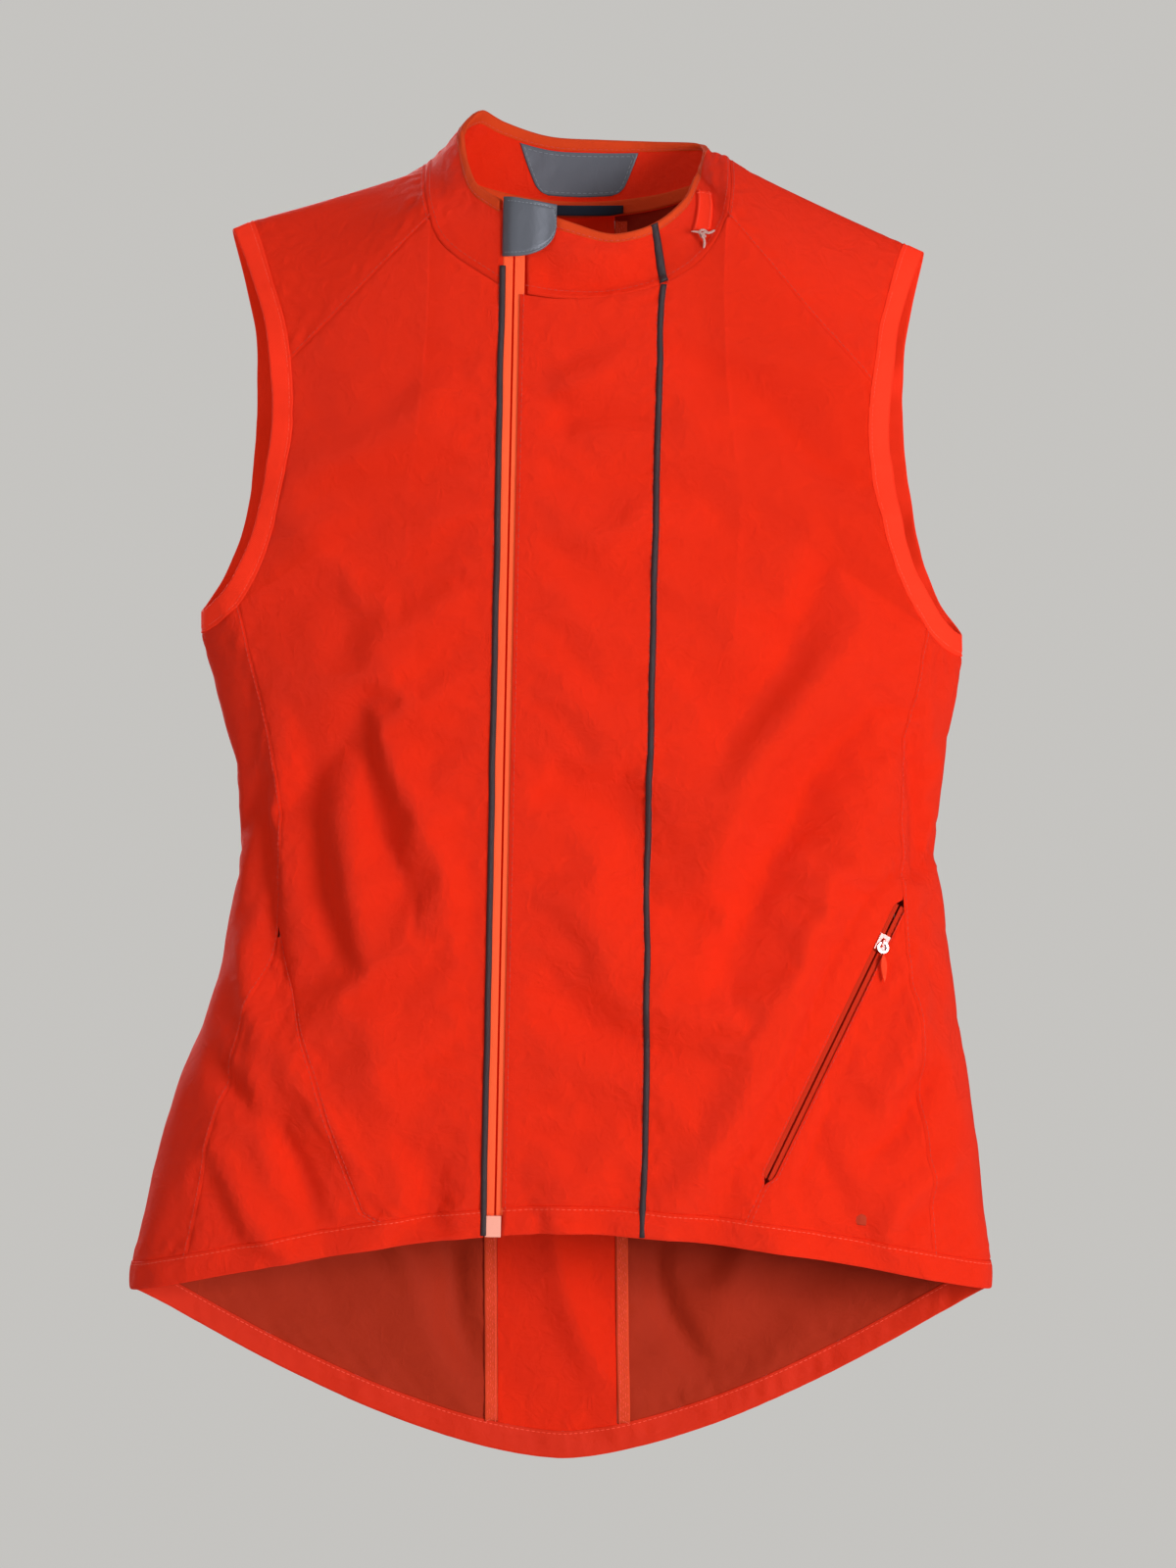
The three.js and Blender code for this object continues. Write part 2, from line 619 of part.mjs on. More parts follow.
function frontPanels() {
  for (const side of [-1, 1]) {
    const { startIndex, hemU } = pockets[side];
    const { sideFront, raglanFront } = seams[side];
    const mouth = side > 0 ? pocketMouth : 0;
    const pocketInner = pocketEdge(side, -mouth);
    const outer = [...pocketInner, ...sideFront.slice(startIndex + 1),
      ...armholes[side].seamLine(sideFrontKnot, raglanFrontKnot).slice(1)];
    const innerSeam = side < 0 ? leftZipSeam : rightPipingSeam;
    const neckKnots = side < 0
      ? [raglanNeckKnots[-1].front, lastKnot]
      : [pipingKnot, raglanNeckKnots[1].front];
    const neck = neckLine(...neckKnots);
    const hemEnds = [pocketInner[0], innerSeam[0]];
    const hem = hemLine(front, frontHemTop, shellU(hemEnds[0].x, hemEnds[0].z), hemUOf(innerSeam));
    hem[0] = hemEnds[0];
    hem[hem.length - 1] = hemEnds[1];
    const top = side < 0
      ? [...raglanFront.slice().reverse(), ...neck.slice(1)]
      : [...neck, ...raglanFront.slice(1)];
    const edges = side < 0
      ? { bottom: hem, top, left: outer, right: innerSeam }
      : { bottom: hem.reverse(), top, left: innerSeam, right: outer };
    const name = side < 0 ? 'front_left_panel' : 'front_right_panel';
    addMesh(name, slab(panelBetween(edges, 22, 10), 0, cloth), orange);

    const pocketOuter = pocketEdge(side, mouth);
    const pocketSide = sideFront.slice(0, startIndex + 1);
    const hipInnerU = shellU(pocketOuter[0].x, pocketOuter[0].z);
    const hipHem = hemLine(front, frontHemTop, hipInnerU, side * sideSeamPlace);
    hipHem[0] = pocketOuter[0];
    hipHem[hipHem.length - 1] = sideFront[0];
    // The panel's tip is cut off short of the pocket's top, where its two edges run together
    const upTo = (line, share) => gridOf(16, 1, (t) => alongLine(line)(t * share)).map((row) => row[0]);
    const [inner, outerSide] = [upTo(pocketOuter, 0.95), upTo(pocketSide, 0.95)];
    const tip = [inner[inner.length - 1], outerSide[outerSide.length - 1]];
    const hipEdges = side < 0
      ? { bottom: hipHem.slice().reverse(), top: tip.slice().reverse(), left: outerSide, right: inner }
      : { bottom: hipHem, top: tip, left: inner, right: outerSide };
    const hipName = side < 0 ? 'hip_panel_left' : 'hip_panel_right';
    addMesh(hipName, slab(panelBetween(hipEdges, 8, 5), 0, cloth), orange);
  }
  const centreHem = hemLine(front, frontHemTop, hemUOf(rightZipSeam), hemUOf(rightPipingSeam));
  centreHem[0] = rightZipSeam[0];
  centreHem[centreHem.length - 1] = rightPipingSeam[0];
  const top = neckLine(0, pipingKnot);
  const centre = { bottom: centreHem, top, left: rightZipSeam, right: rightPipingSeam };
  addMesh('front_centre_panel', slab(panelBetween(centre, 14, 4), 0, cloth), orange);
}

// The side panels wrap the side folds, between the front and back side seams
function sidePanels() {
  for (const side of [-1, 1]) {
    const { sideFront, sideBack } = seams[side];
    const fold = side * 0.9995;
    const hemRound = [...hemLine(front, frontHemTop, side * sideSeamPlace, fold),
      ...hemLine(back, backHemTop, fold, side * sideSeamPlace)];
    const underarm = armholes[side].seamLine(sideFrontKnot, sideBackKnot);
    const edges = side > 0
      ? { bottom: hemRound, top: underarm, left: sideFront, right: sideBack }
      : { bottom: hemRound.reverse(), top: underarm.reverse(), left: sideBack, right: sideFront };
    const name = side < 0 ? 'side_panel_left' : 'side_panel_right';
    addMesh(name, slab(panelBetween(edges, 12, 8), 0, cloth), orange);
  }
}

// The yokes run over the shoulders, from the front raglan seam to the back one
function yokes() {
  for (const side of [-1, 1]) {
    const { raglanFront, raglanBack } = seams[side];
    const neckKnots = raglanNeckKnots[side];
    const neck = neckLine(neckKnots.front, neckKnots.back);
    const tipKnot = armholeKnots.length;
    const arm = [...armholes[side].seamLine(raglanFrontKnot, 0),
      ...armholes[side].seamLine(tipKnot, raglanBackKnot).slice(1)];
    const edges = { bottom: raglanFront, top: raglanBack, left: neck, right: arm };
    const name = side < 0 ? 'yoke_left' : 'yoke_right';
    addMesh(name, slab(panelBetween(edges, 12, 6), 0, cloth), orange);
  }
}

function backPanels() {
  const seamAt = (x) => {
    const angle = THREE.MathUtils.radToDeg(Math.acos(THREE.MathUtils.clamp(x / (neckWidth / 2), -1, 1)));
    const neckEnd = neckCurve.getPoint(knotShare(knotAtAngle(angle)));
    const hemU = shellU(x, -frontLength);
    const points = [];
    for (let k = 0; k < 16; k++) {
      const z = THREE.MathUtils.lerp(backHemTop(hemU), neckEnd.z, k / 16);
      points.push(back(shellU(THREE.MathUtils.lerp(x, neckEnd.x, k / 16), z), z));
    }
    return { line: [...points, neckEnd], knot: knotAtAngle(angle) };
  };
  const left = seamAt(-backSeamLeft);
  const right = seamAt(backSeamRight);
  const hemFrom = (line, to) => {
    const hem = hemLine(back, backHemTop, hemUOf(line), to);
    hem[0] = line[0];
    return hem;
  };
  const centreHem = hemFrom(right.line, hemUOf(left.line));
  centreHem[centreHem.length - 1] = left.line[0];
  const top = neckLine(right.knot, left.knot);
  const centre = { bottom: centreHem, top, left: right.line, right: left.line };
  addMesh('back_centre_panel', slab(panelBetween(centre, 14, 4), 0, cloth), orange);
  for (const [side, seam] of [[-1, left], [1, right]]) {
    const { raglanBack, sideBack } = seams[side];
    const neck = neckLine(seam.knot, raglanNeckKnots[side].back);
    const outer = [...sideBack, ...armholes[side].seamLine(sideBackKnot, raglanBackKnot).slice(1)];
    const hem = hemFrom(seam.line, side * sideSeamPlace);
    hem[hem.length - 1] = sideBack[0];
    const edges = { bottom: hem, top: [...neck, ...raglanBack.slice(1)], left: seam.line, right: outer };
    const name = side < 0 ? 'back_left_panel' : 'back_right_panel';
    addMesh(name, slab(panelBetween(edges, 14, 6), 0, cloth), orange);
  }
}

// ---- Hems: turned-up double bands below the panels ----

function hems() {
  const band = (face, height, from, to, columns) => insetEdges(gridOf(1, columns, (v, t) => {
    const u = THREE.MathUtils.lerp(from, to, t);
    return face(u, height(u) + v * hemBand);
  }));
  const hemEdge = (offset) => shellU(zipX(zipBottomZ) + offset, zipBottomZ);
  const fold = 0.999;
  addMesh('front_hem_left',
    slab(band(front, frontHem, -fold, hemEdge(-zipPipingOffset), 20), 0, hemThickness), orange);
  addMesh('front_hem_right',
    slab(band(front, frontHem, hemEdge(zipRightEdge), fold, 24), 0, hemThickness), orange);
  addMesh('back_hem', slab(band(back, backHem, -fold, fold, 44), 0, hemThickness), orange);
}

// ---- Collar ----

function collarParts() {
  const seamGap = 0.035;
  const main = insetEdges(collarSheet(pipingKnot, lastKnot, seamGap, edgeTapeShare, 48));
  addMesh('collar_main', slab(main, 0, cloth), orange);
  const centre = insetEdges(collarSheet(0, pipingKnot, seamGap, edgeTapeShare, 10));
  addMesh('collar_centre', slab(centre, 0, cloth), orange);
  const liningOuter = -tapeBack - gap - 0.1;
  const liningInner = liningOuter - cloth;
  addMesh('collar_lining', slab(insetEdges(collarSheet(0, lastKnot, seamGap, edgeTapeShare, 58)),
    liningInner, liningOuter), orange);
  addMesh('collar_edge_tape', slab(collarSheet(0.12, lastKnot - 0.12, edgeTapeShare + 0.02, 1, 58, 1),
    liningInner, cloth), orangeTape);
  const trimOuter = liningInner - gap - 0.25;
  const trimInner = trimOuter - trimThickness;
  addMesh('reflective_neck_patch', slab(patchGrid(), trimInner, trimOuter), reflective, 0.45);
  addMesh('neck_seam_tape', slab(collarSheet(knotAtAngle(40), knotAtAngle(140), seamGap, 0.2, 24, 1),
    trimInner, trimOuter), orangeTape);
  const around = pipingWidth / 2 / 18;
  addMesh('piping_collar', slab(collarSheet(pipingKnot - around, pipingKnot + around, seamGap, 0.95, 1, 4),
    cloth + gap, cloth + gap + pipingHeight), darkPiping, 0.5);
  return trimInner;
}

// The reflective patch inside the collar's back narrows toward its lower edge
function patchGrid() {
  return gridOf(4, 8, (v, t) => {
    const half = THREE.MathUtils.lerp(...patchHalfAngle, v);
    const degrees = patchMiddle + THREE.MathUtils.lerp(-half, half, t);
    return collar(knotAtAngle(degrees), THREE.MathUtils.lerp(...patchRise, v));
  });
}

// The hanging loop: a ribbon sewn down at both ends on the neck seam tape, bowed forward between

function loopEnds(trimInner) {
  return [1, -1].map((side) => {
    const degrees = THREE.MathUtils.radToDeg(Math.acos(side * loopHalf / (neckWidth / 2)));
    const point = collar(knotAtAngle(degrees), 0.12);
    point.y += trimInner - gap - 0.4;
    return point;
  });
}

function hangingLoop(trimInner) {
  const [right, left] = loopEnds(trimInner);
  const grid = gridOf(1, 16, (v, t) => {
    const point = right.clone().lerp(left, t);
    const bow = Math.sin(Math.PI * t) ** 0.7;
    point.y -= loopBow * bow + loopThickness / 2;
    point.z -= loopSag * bow + (1 - v) * loopRibbon;
    return point;
  });
  addMesh('hanging_loop', slab(grid, 0, loopThickness), navy);
}

// The tab lies on the collar's outside, on the right, and ends in a knotted elastic. Its corners are
// angles around the neck and shares of the collar's height.

function collarTab() {
  const corner = (degrees, rise) => ({ knot: knotAtAngle(degrees), rise });
  const low = [corner(-38, 0.45), corner(-27, 0.18)];
  const top = [corner(-23, 0.8), corner(-14.5, 0.5)];
  const mix = (pair, t, key) => THREE.MathUtils.lerp(pair[0][key], pair[1][key], t);
  const grid = gridOf(6, 2, (v, t) => {
    const knot = THREE.MathUtils.lerp(mix(low, t, 'knot'), mix(top, t, 'knot'), v);
    const rise = THREE.MathUtils.lerp(mix(low, t, 'rise'), mix(top, t, 'rise'), v);
    return collar(knot, rise);
  });
  addMesh('collar_tab', slab(grid, tabLift, tabLift + cloth), bindingOrange);
  const knotPlace = grid[0][1].clone().add(new THREE.Vector3(0, -5.6, -1.6));
  const limb = (x, y, z) => {
    const geometry = new THREE.CylinderGeometry(limbRadius, limbRadius, Math.hypot(x, y, z), 8);
    const aim = new THREE.Quaternion().setFromUnitVectors(new THREE.Vector3(0, 1, 0),
      new THREE.Vector3(x, y, z).normalize());
    return solidOf(geometry.applyQuaternion(aim).translate(x / 2, y / 2, z / 2));
  };
  const ball = solidOf(new THREE.SphereGeometry(knotRadius, 10, 8));
  const knot = ball.add(limb(-7, -1.5, 1)).add(limb(6.5, -1.5, 1.6)).add(limb(0.5, -2.2, -8.5));
  addMesh('elastic_knot', geometryOf(knot).translate(...knotPlace.toArray()), pink);
}

// ---- Piping on the body: on the left from under the flap to the hem, on the right from the neck ----

function pipings() {
  const base = cloth + gap + 0.2;
  const rightStrip = (topZ, bottomZ) => gridOf(18, 1, (v, t) => {
    const z = THREE.MathUtils.lerp(bottomZ, topZ, v);
    return front(shellU(pipingRightX(z) + (t - 0.5) * pipingWidth, z), z);
  });
  const leftStrip = (topZ, bottomZ) => {
    const edges = [-0.5, 0.5].map((t) => besideZip(t * pipingWidth - zipPipingOffset, bottomZ, topZ, 18));
    return edges[0].map((point, k) => [point, edges[1][k]]);
  };
  const hemBottom = (x) => frontHem(shellU(x, -frontLength)) + 1;
  const leftTop = zipTop.z - flapHeight - 2;
  const liftAt = (v) => (v < 0.06 ? 0.8 : 0);
  addMesh('piping_left', slab(leftStrip(leftTop, hemBottom(pipingLeftX(-frontLength))),
    (v) => base + liftAt(v), (v) => base + pipingHeight + liftAt(v)), darkPiping, 0.5);
  addMesh('piping_right', slab(rightStrip(pipingRightTop.z - 2, hemBottom(pipingRightX(-frontLength))),
    (v) => base + liftAt(v), (v) => base + pipingHeight + liftAt(v)), darkPiping, 0.5);
}

// ---- Main zip ----

const teethTop = -stopHeight - gap;
const boxTop = -zipLength + boxHeight;

function mainZipParts() {
  for (const side of [-1, 1]) {
    const name = side < 0 ? 'left' : 'right';
    const across = (from, to) => [side * from, side * to].sort((a, b) => a - b);
    const tape = block(across(tapeSlit, tapeSlit + tapeWidth), [tapeFront, tapeBack], [boxTop + gap, 0]);
    addMesh(`zip_tape_${name}`, tape, zipOrange, 0.8, 0, mainZip);
    const teethBottom = boxTop + (side > 0 ? pinLength : 0) + gap;
    const teethAcross = across(tapeSlit, tapeSlit + teethWidth);
    const teeth = block(teethAcross, [teethFront, teethBack], [teethBottom, teethTop]);
    addMesh(`zip_teeth_${name}`, teeth, zipOrange, 0.5, 0, mainZip);
    const stop = block(teethAcross, [teethFront, teethBack], [-stopHeight, 0]);
    addMesh(`zip_top_stop_${name}`, stop, metal, 0.4, 0.8, mainZip);
  }
  const pinBottom = boxTop - boxHeight + 3;
  const pinAcross = [tapeSlit, tapeSlit + teethWidth];
  const pin = block(pinAcross, [teethFront, teethBack], [pinBottom, boxTop + pinLength]);
  addMesh('zip_pin', pin, pink, 0.4, 0, mainZip);
  const boxBody = solidOf(block([-zipPipingOffset + 1, zipRightEdge - 0.8], [-1, teethBack + 1.2],
    [boxTop - boxHeight, boxTop]));
  const socket = solidOf(block([pinAcross[0] - gap, pinAcross[1] + gap],
    [teethFront - gap, teethBack + gap], [pinBottom - gap, boxTop + 1]));
  addMesh('zip_box', geometryOf(boxBody.subtract(socket)), pink, 0.4, 0, mainZip);

  const parked = new THREE.Group();
  parked.position.z = teethTop - 2 - sliderLength / 2;
  mainZip.add(parked);
  addMesh('zip_slider', sliderGeometry(), zipOrange, 0.4, 0.3, parked);
  const pullerShape = pullerGeometry(pullerLength, pullerWidth);
  const puller = addMesh('zip_puller', pullerShape, zipOrange, 0.4, 0.3, parked);
  puller.position.y = pullDepth;
  addMesh('zip_garage_flap', slab(flapGrid(), 0, cloth), reflective, 0.45);
}

// The flap is sewn beside the zip at its left edge, and stands clear over the parked slider

function flapGrid() {
  return gridOf(6, 10, (v, s) => {
    const topZ = -4.5 * s;
    const rounding = Math.sqrt(1 - Math.min(s, 1) ** 2);
    const drop = THREE.MathUtils.lerp(12, flapHeight, rounding);
    const z = topZ - (1 - v) * drop + 3;
    const risen = Math.sin(Math.PI * Math.min(s / 0.25, 1) / 2);
    const raised = risen - 0.45 * THREE.MathUtils.smoothstep(s, 0.5, 1);
    const stand = flapSewnStand + (flapStand - flapSewnStand) * raised;
    const x = flapSewnOffset + s * flapWidth;
    return new THREE.Vector3(x, -stand, z).applyMatrix4(mainZip.matrix);
  });
}

// ---- Pocket zip on the right hip, with its bag behind ----

function pocketParts() {
  const { start, end, up, outward } = pockets[1];
  const frame = zipFrame(start, up, outward);
  const length = start.distanceTo(end);

  const top = -pocketTapeTop;
  const bottom = -length + pocketTapeBottom;
  const slitTop = top - pocketSlitMargin;
  const slitBottom = bottom + pocketSlitMargin;
  const slotted = (half, depthFrom, depthTo) => {
    const shape = polygon([[-half, bottom], [half, bottom], [half, top], [-half, top]]);
    shape.holes.push(polygon([[-tapeSlit, slitBottom], [-tapeSlit, slitTop],
      [tapeSlit, slitTop], [tapeSlit, slitBottom]]));
    return plate(shape, depthTo - depthFrom).rotateX(Math.PI / 2).translate(0, depthTo, 0);
  };
  addMesh('pocket_zip_tape', slotted(pocketMouth + pocketTapeUnder, tapeFront, tapeBack),
    zipOrange, 0.8, 0, frame);
  addMesh('pocket_zip_teeth', slotted(tapeSlit + teethWidth, teethFront, teethBack),
    zipOrange, 0.5, 0, frame);

  const parked = new THREE.Group();
  parked.position.z = -pocketSliderPlace;
  frame.add(parked);
  addMesh('pocket_slider', sliderGeometry(), bindingOrange, 0.4, 0.3, parked);
  // The pull hangs straight down, turned from the zip's slant
  const hanging = new THREE.Group();
  hanging.position.y = pullDepth;
  const toFrame = new THREE.Matrix3().setFromMatrix4(frame.matrix).transpose();
  const down = new THREE.Vector3(0, 0, -1).applyMatrix3(toFrame);
  hanging.rotation.set(-0.1, Math.atan2(-down.x, -down.z), 0, 'YXZ');
  parked.add(hanging);
  const ringCentre = eyeBar / 2 - ringOuter;
  const annulus = new THREE.Shape().absarc(0, ringCentre, ringOuter, 0, 2 * Math.PI, false);
  annulus.holes.push(new THREE.Path().absarc(0, ringCentre, ringOuter - eyeBar, 0, 2 * Math.PI, true));
  const laid = (shape, thickness) =>
    plate(shape, thickness, 12).rotateX(Math.PI / 2).translate(0, thickness / 2, 0);
  addMesh('pocket_pull_ring', laid(annulus, pullThickness), metal, 0.35, 0.9, hanging);
  const leaf = new THREE.Shape();
  const leafTop = ringCentre - ringOuter - gap;
  leaf.moveTo(0, leafTop);
  const widest = leafTop - leafLength / 3;
  leaf.quadraticCurveTo(leafHalf, widest, 0, leafTop - leafLength);
  leaf.quadraticCurveTo(-leafHalf, widest, 0, leafTop);
  addMesh('pocket_pull', laid(leaf, leafThickness), bindingOrange, 0.6, 0, hanging);

  // The bag hangs flat behind the zip, sewn up to the tape along its inner edge
  const local = frame.matrix.clone().invert();
  const sideLine = alongLine(seams[1].sideFront.slice(0, pockets[1].startIndex + 1));
  const bagPoint = (point, shiftX, shiftZ) => {
    const place = point.clone().applyMatrix4(local);
    return [place.x + shiftX, place.z + shiftZ];
  };
  const wallX = -pocketMouth - 2 - gap;
  const outline = polygon([[wallX - cloth / 2, -12], [8, -24], bagPoint(sideLine(0.55), -9, 0),
    bagPoint(sideLine(0.03), -9, 4), bagPoint(pockets[1].hem, 6, 5), [wallX - cloth / 2, -length + 8]]);
  const bagFront = backPlateFront + plateThickness + 0.5;
  const sheet = plate(outline, cloth).rotateX(Math.PI / 2).translate(0, bagFront + cloth, 0);
  const wall = block([wallX - cloth, wallX], [tapeFront + 0.2, bagFront + cloth], [-length + 8, -12]);
  addMesh('pocket_bag', geometryOf(solidOf(sheet).add(solidOf(wall))), orangeTape, 0.8, 0, frame);
}

frontPanels();
sidePanels();
yokes();
backPanels();
hems();
hangingLoop(collarParts());
collarTab();
pipings();
addMesh('armhole_binding_left', bindingGeometry(armholes[-1]), bindingOrange);
addMesh('armhole_binding_right', bindingGeometry(armholes[1]), bindingOrange);
mainZipParts();
pocketParts();

export default vest;
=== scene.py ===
"""A light cycling gilet in high-visibility orange, shaped as it hangs: a woven shell in twelve
panels, an off-centre front zip, reflective piping, a stand-up collar, bound armholes, a zipped
hip pocket and a dropped tail. Built in millimetres and made into meshes in metres."""

import math

import bmesh
import bpy
import numpy as np
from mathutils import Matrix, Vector


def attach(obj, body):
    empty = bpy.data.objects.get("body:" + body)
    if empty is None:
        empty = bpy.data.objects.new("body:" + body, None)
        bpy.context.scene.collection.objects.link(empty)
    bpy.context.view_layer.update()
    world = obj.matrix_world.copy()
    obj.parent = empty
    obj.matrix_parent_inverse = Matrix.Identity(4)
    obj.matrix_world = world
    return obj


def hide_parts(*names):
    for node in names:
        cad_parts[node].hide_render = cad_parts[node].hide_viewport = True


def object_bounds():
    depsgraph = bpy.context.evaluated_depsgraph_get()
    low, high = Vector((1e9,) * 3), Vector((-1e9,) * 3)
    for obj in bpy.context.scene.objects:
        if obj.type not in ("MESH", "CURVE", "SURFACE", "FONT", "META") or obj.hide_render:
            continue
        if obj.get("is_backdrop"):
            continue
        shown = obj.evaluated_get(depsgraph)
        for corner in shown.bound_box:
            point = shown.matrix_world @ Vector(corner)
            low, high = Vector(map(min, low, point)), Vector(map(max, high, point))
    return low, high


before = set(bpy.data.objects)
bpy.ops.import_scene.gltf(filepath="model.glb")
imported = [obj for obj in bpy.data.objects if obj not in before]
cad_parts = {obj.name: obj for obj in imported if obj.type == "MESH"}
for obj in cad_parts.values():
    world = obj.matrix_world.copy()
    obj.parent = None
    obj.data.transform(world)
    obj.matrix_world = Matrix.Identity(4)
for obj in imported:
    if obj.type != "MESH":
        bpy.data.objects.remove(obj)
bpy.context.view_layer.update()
scene = bpy.context.scene


# ---- The shell's form ----
# The body of the gilet is a flattened tube of thin cloth that hangs from the shoulders. A place
# on it is given by u, from -1 to 1 between the side folds, and by its height z. The panels, the
# trim and the zips all take their places from this form.

SHOULDER_WIDTH, CHEST_WIDTH, WAIST_WIDTH, HEM_WIDTH = 408, 436, 412, 494
SHOULDER_DROP, UNDERARM_DROP, WAIST_DROP, FRONT_LENGTH = 24, 244, 368, 630
FRONT_DEPTH, FRONT_DEPTH_HEM, BACK_DEPTH = 54, 62, 47
FRONT_HEM_RISE, TAIL_DROP, HEM_BAND = 37, 106, 16
SIDE_TILT = 0.033           # it hangs a little lower on its right
RIDGE_ROUND = 80            # how far below the shoulder line the shell is rounded over
SIDE_SEAM_PLACE = 0.86
NECK_WIDTH, NECK_FRONT_DROP, NECK_SIDE_RISE, NECK_BACK_DROP = 176, 64, 24, 3
LEVELS = [(-SHOULDER_DROP, SHOULDER_WIDTH, 0), (-UNDERARM_DROP, CHEST_WIDTH, 2),
          (-WAIST_DROP, WAIST_WIDTH, 8), (-FRONT_LENGTH, HEM_WIDTH, -10)]


def smooth(t):
    t = np.clip(t, 0, 1)
    return t * t * (3 - 2 * t)


def at_level(z, column):
    value = np.full(np.shape(z), float(LEVELS[0][column]))
    for above, below in zip(LEVELS, LEVELS[1:]):
        t = smooth((above[0] - z) / (above[0] - below[0]))
        value = np.where(z < above[0], above[column] + (below[column] - above[column]) * t, value)
    return value


def shell_u(x, z):
    return (x - at_level(z, 2)) / (at_level(z, 1) / 2)


def shoulder_line(x):
    return NECK_SIDE_RISE + 2 - (np.abs(x) - NECK_WIDTH / 2) * 0.42 - SIDE_TILT * x


def ridge(x, z):
    below = np.clip((shoulder_line(x) - z) / RIDGE_ROUND, 0, 1)
    return np.sqrt(1 - (1 - below) ** 2)


def front_depth(z):
    return FRONT_DEPTH + (FRONT_DEPTH_HEM - FRONT_DEPTH) * (-z / FRONT_LENGTH)


def face_point(u, z, is_back):
    u, z = np.broadcast_arrays(np.asarray(u, float), np.asarray(z, float))
    x = at_level(z, 2) + u * at_level(z, 1) / 2
    lens = np.sqrt(np.maximum(1 - np.abs(u) ** 2.4, 0)) * ridge(x, z)
    y = np.where(is_back, BACK_DEPTH, -front_depth(z)) * lens
    return np.stack([x, y, z], -1)


def front(u, z):
    return face_point(u, z, False)


def back(u, z):
    return face_point(u, z, True)


def front_hem(u):
    return -FRONT_LENGTH + FRONT_HEM_RISE * (1 - np.abs(u) ** 1.6)


def back_hem(u):
    return -FRONT_LENGTH - TAIL_DROP * (1 - np.abs(u) ** 1.6)


def lengths_along(points):
    return np.concatenate([[0], np.cumsum(np.linalg.norm(np.diff(points, axis=0), axis=1))])


def along(points, share):
    """Points at these shares of a line's length."""
    s = lengths_along(points)
    return np.stack([np.interp(np.asarray(share) * s[-1], s, points[:, k]) for k in range(3)], -1)


def curve_point(knots, share, closed=False):
    """A centripetal Catmull-Rom curve through the knots, which are evenly spaced in share."""
    knots = np.asarray(knots, float)
    count = len(knots)
    place = np.atleast_1d(np.asarray(share, float)) * (count if closed else count - 1)
    if not closed:
        knots = np.vstack([2 * knots[0] - knots[1], knots, 2 * knots[-1] - knots[-2]])
    first = np.floor(place).astype(int)
    if not closed:
        first = np.clip(first, 0, count - 2)
    t = (place - first)[:, None]
    p = [knots[(first + k - 1) % count] if closed else knots[first + k] for k in range(4)]
    gaps = [np.maximum(np.linalg.norm(b - a, axis=1), 1e-6)[:, None] ** 0.5 for a, b in zip(p, p[1:])]
    m1 = ((p[1] - p[0]) / gaps[0] - (p[2] - p[0]) / (gaps[0] + gaps[1]) + (p[2] - p[1]) / gaps[1]) * gaps[1]
    m2 = ((p[2] - p[1]) / gaps[1] - (p[3] - p[1]) / (gaps[1] + gaps[2]) + (p[3] - p[2]) / gaps[2]) * gaps[1]
    c2 = -3 * p[1] + 3 * p[2] - 2 * m1 - m2
    c3 = 2 * p[1] - 2 * p[2] + m1 + m2
    return p[1] + m1 * t + c2 * t ** 2 + c3 * t ** 3


def ripple(places, pitch, seed):
    """An uneven ripple between about -1 and 1, for points or single lengths, in millimetres."""
    places = np.asarray(places, float)
    if places.ndim == 0 or places.shape[-1] != 3:
        places = places[..., None]
    random = np.random.default_rng(seed)
    total = 0
    for _ in range(7):
        aim = random.normal(size=places.shape[-1])
        aim *= random.uniform(0.7, 1.4) / np.linalg.norm(aim)
        total = total + np.sin(places @ aim * (2 * math.pi / pitch) + random.uniform(0, 6.28))
    return total / 4


# ---- Neck seam, armhole and zip lines ----
# The lines that the cloth is cut and sewn along: the neck seam with the collar's upper edge above
# it, the armholes from the shoulder tips round under the arms, and the zips' straight lines.

COLLAR_HEIGHT = 42
BINDING_WIDTH = 12.5
# Angle round the neck, and the collar's upper edge as shares of the neck's half width, the
# shell's depth and the collar's height
COLLAR_KNOTS = [
    (-109, -0.34, -0.995, 1.19), (-96, -0.09, -1.02, 1.07), (-77, 0.23, -1.00, 0.86),
    (-56, 0.49, -0.89, 0.83), (-38, 0.69, -0.58, 0.92), (-18, 0.76, -0.23, 0.75),
    (-8, 0.79, -0.08, 0.48), (0, 0.82, 0.10, 0.10), (8, 0.84, 0.30, 0.33), (30, 0.80, 0.60, 0.68),
    (55, 0.50, 0.80, 0.95), (80, 0.17, 0.83, 1.09), (100, -0.20, 0.83, 1.14),
    (125, -0.50, 0.75, 1.22), (150, -0.65, 0.45, 1.12), (172, -0.75, 0.12, 0.60),
    (180, -0.76, 0.02, 0.42), (190, -0.72, -0.35, 0.64), (207, -0.64, -0.75, 0.80),
    (241, -0.48, -0.99, 1.17)]
PIPING_KNOT = 3
LAST_KNOT = len(COLLAR_KNOTS) - 1


def neck_seam(degrees):
    x = NECK_WIDTH / 2 * math.cos(math.radians(degrees))
    forward = -math.sin(math.radians(degrees))
    if forward > 0:
        z = NECK_SIDE_RISE - (NECK_SIDE_RISE + NECK_FRONT_DROP) * forward ** 0.6
        return front(shell_u(x, z), z)
    z = NECK_SIDE_RISE + (NECK_SIDE_RISE + NECK_BACK_DROP) * forward
    return back(shell_u(x, z), z)


neck_knots = np.array([neck_seam(k[0]) for k in COLLAR_KNOTS])
collar_knots = np.array([
    (x * NECK_WIDTH / 2, y * FRONT_DEPTH, neck_seam(angle)[2] + rise * COLLAR_HEIGHT)
    for angle, x, y, rise in COLLAR_KNOTS])


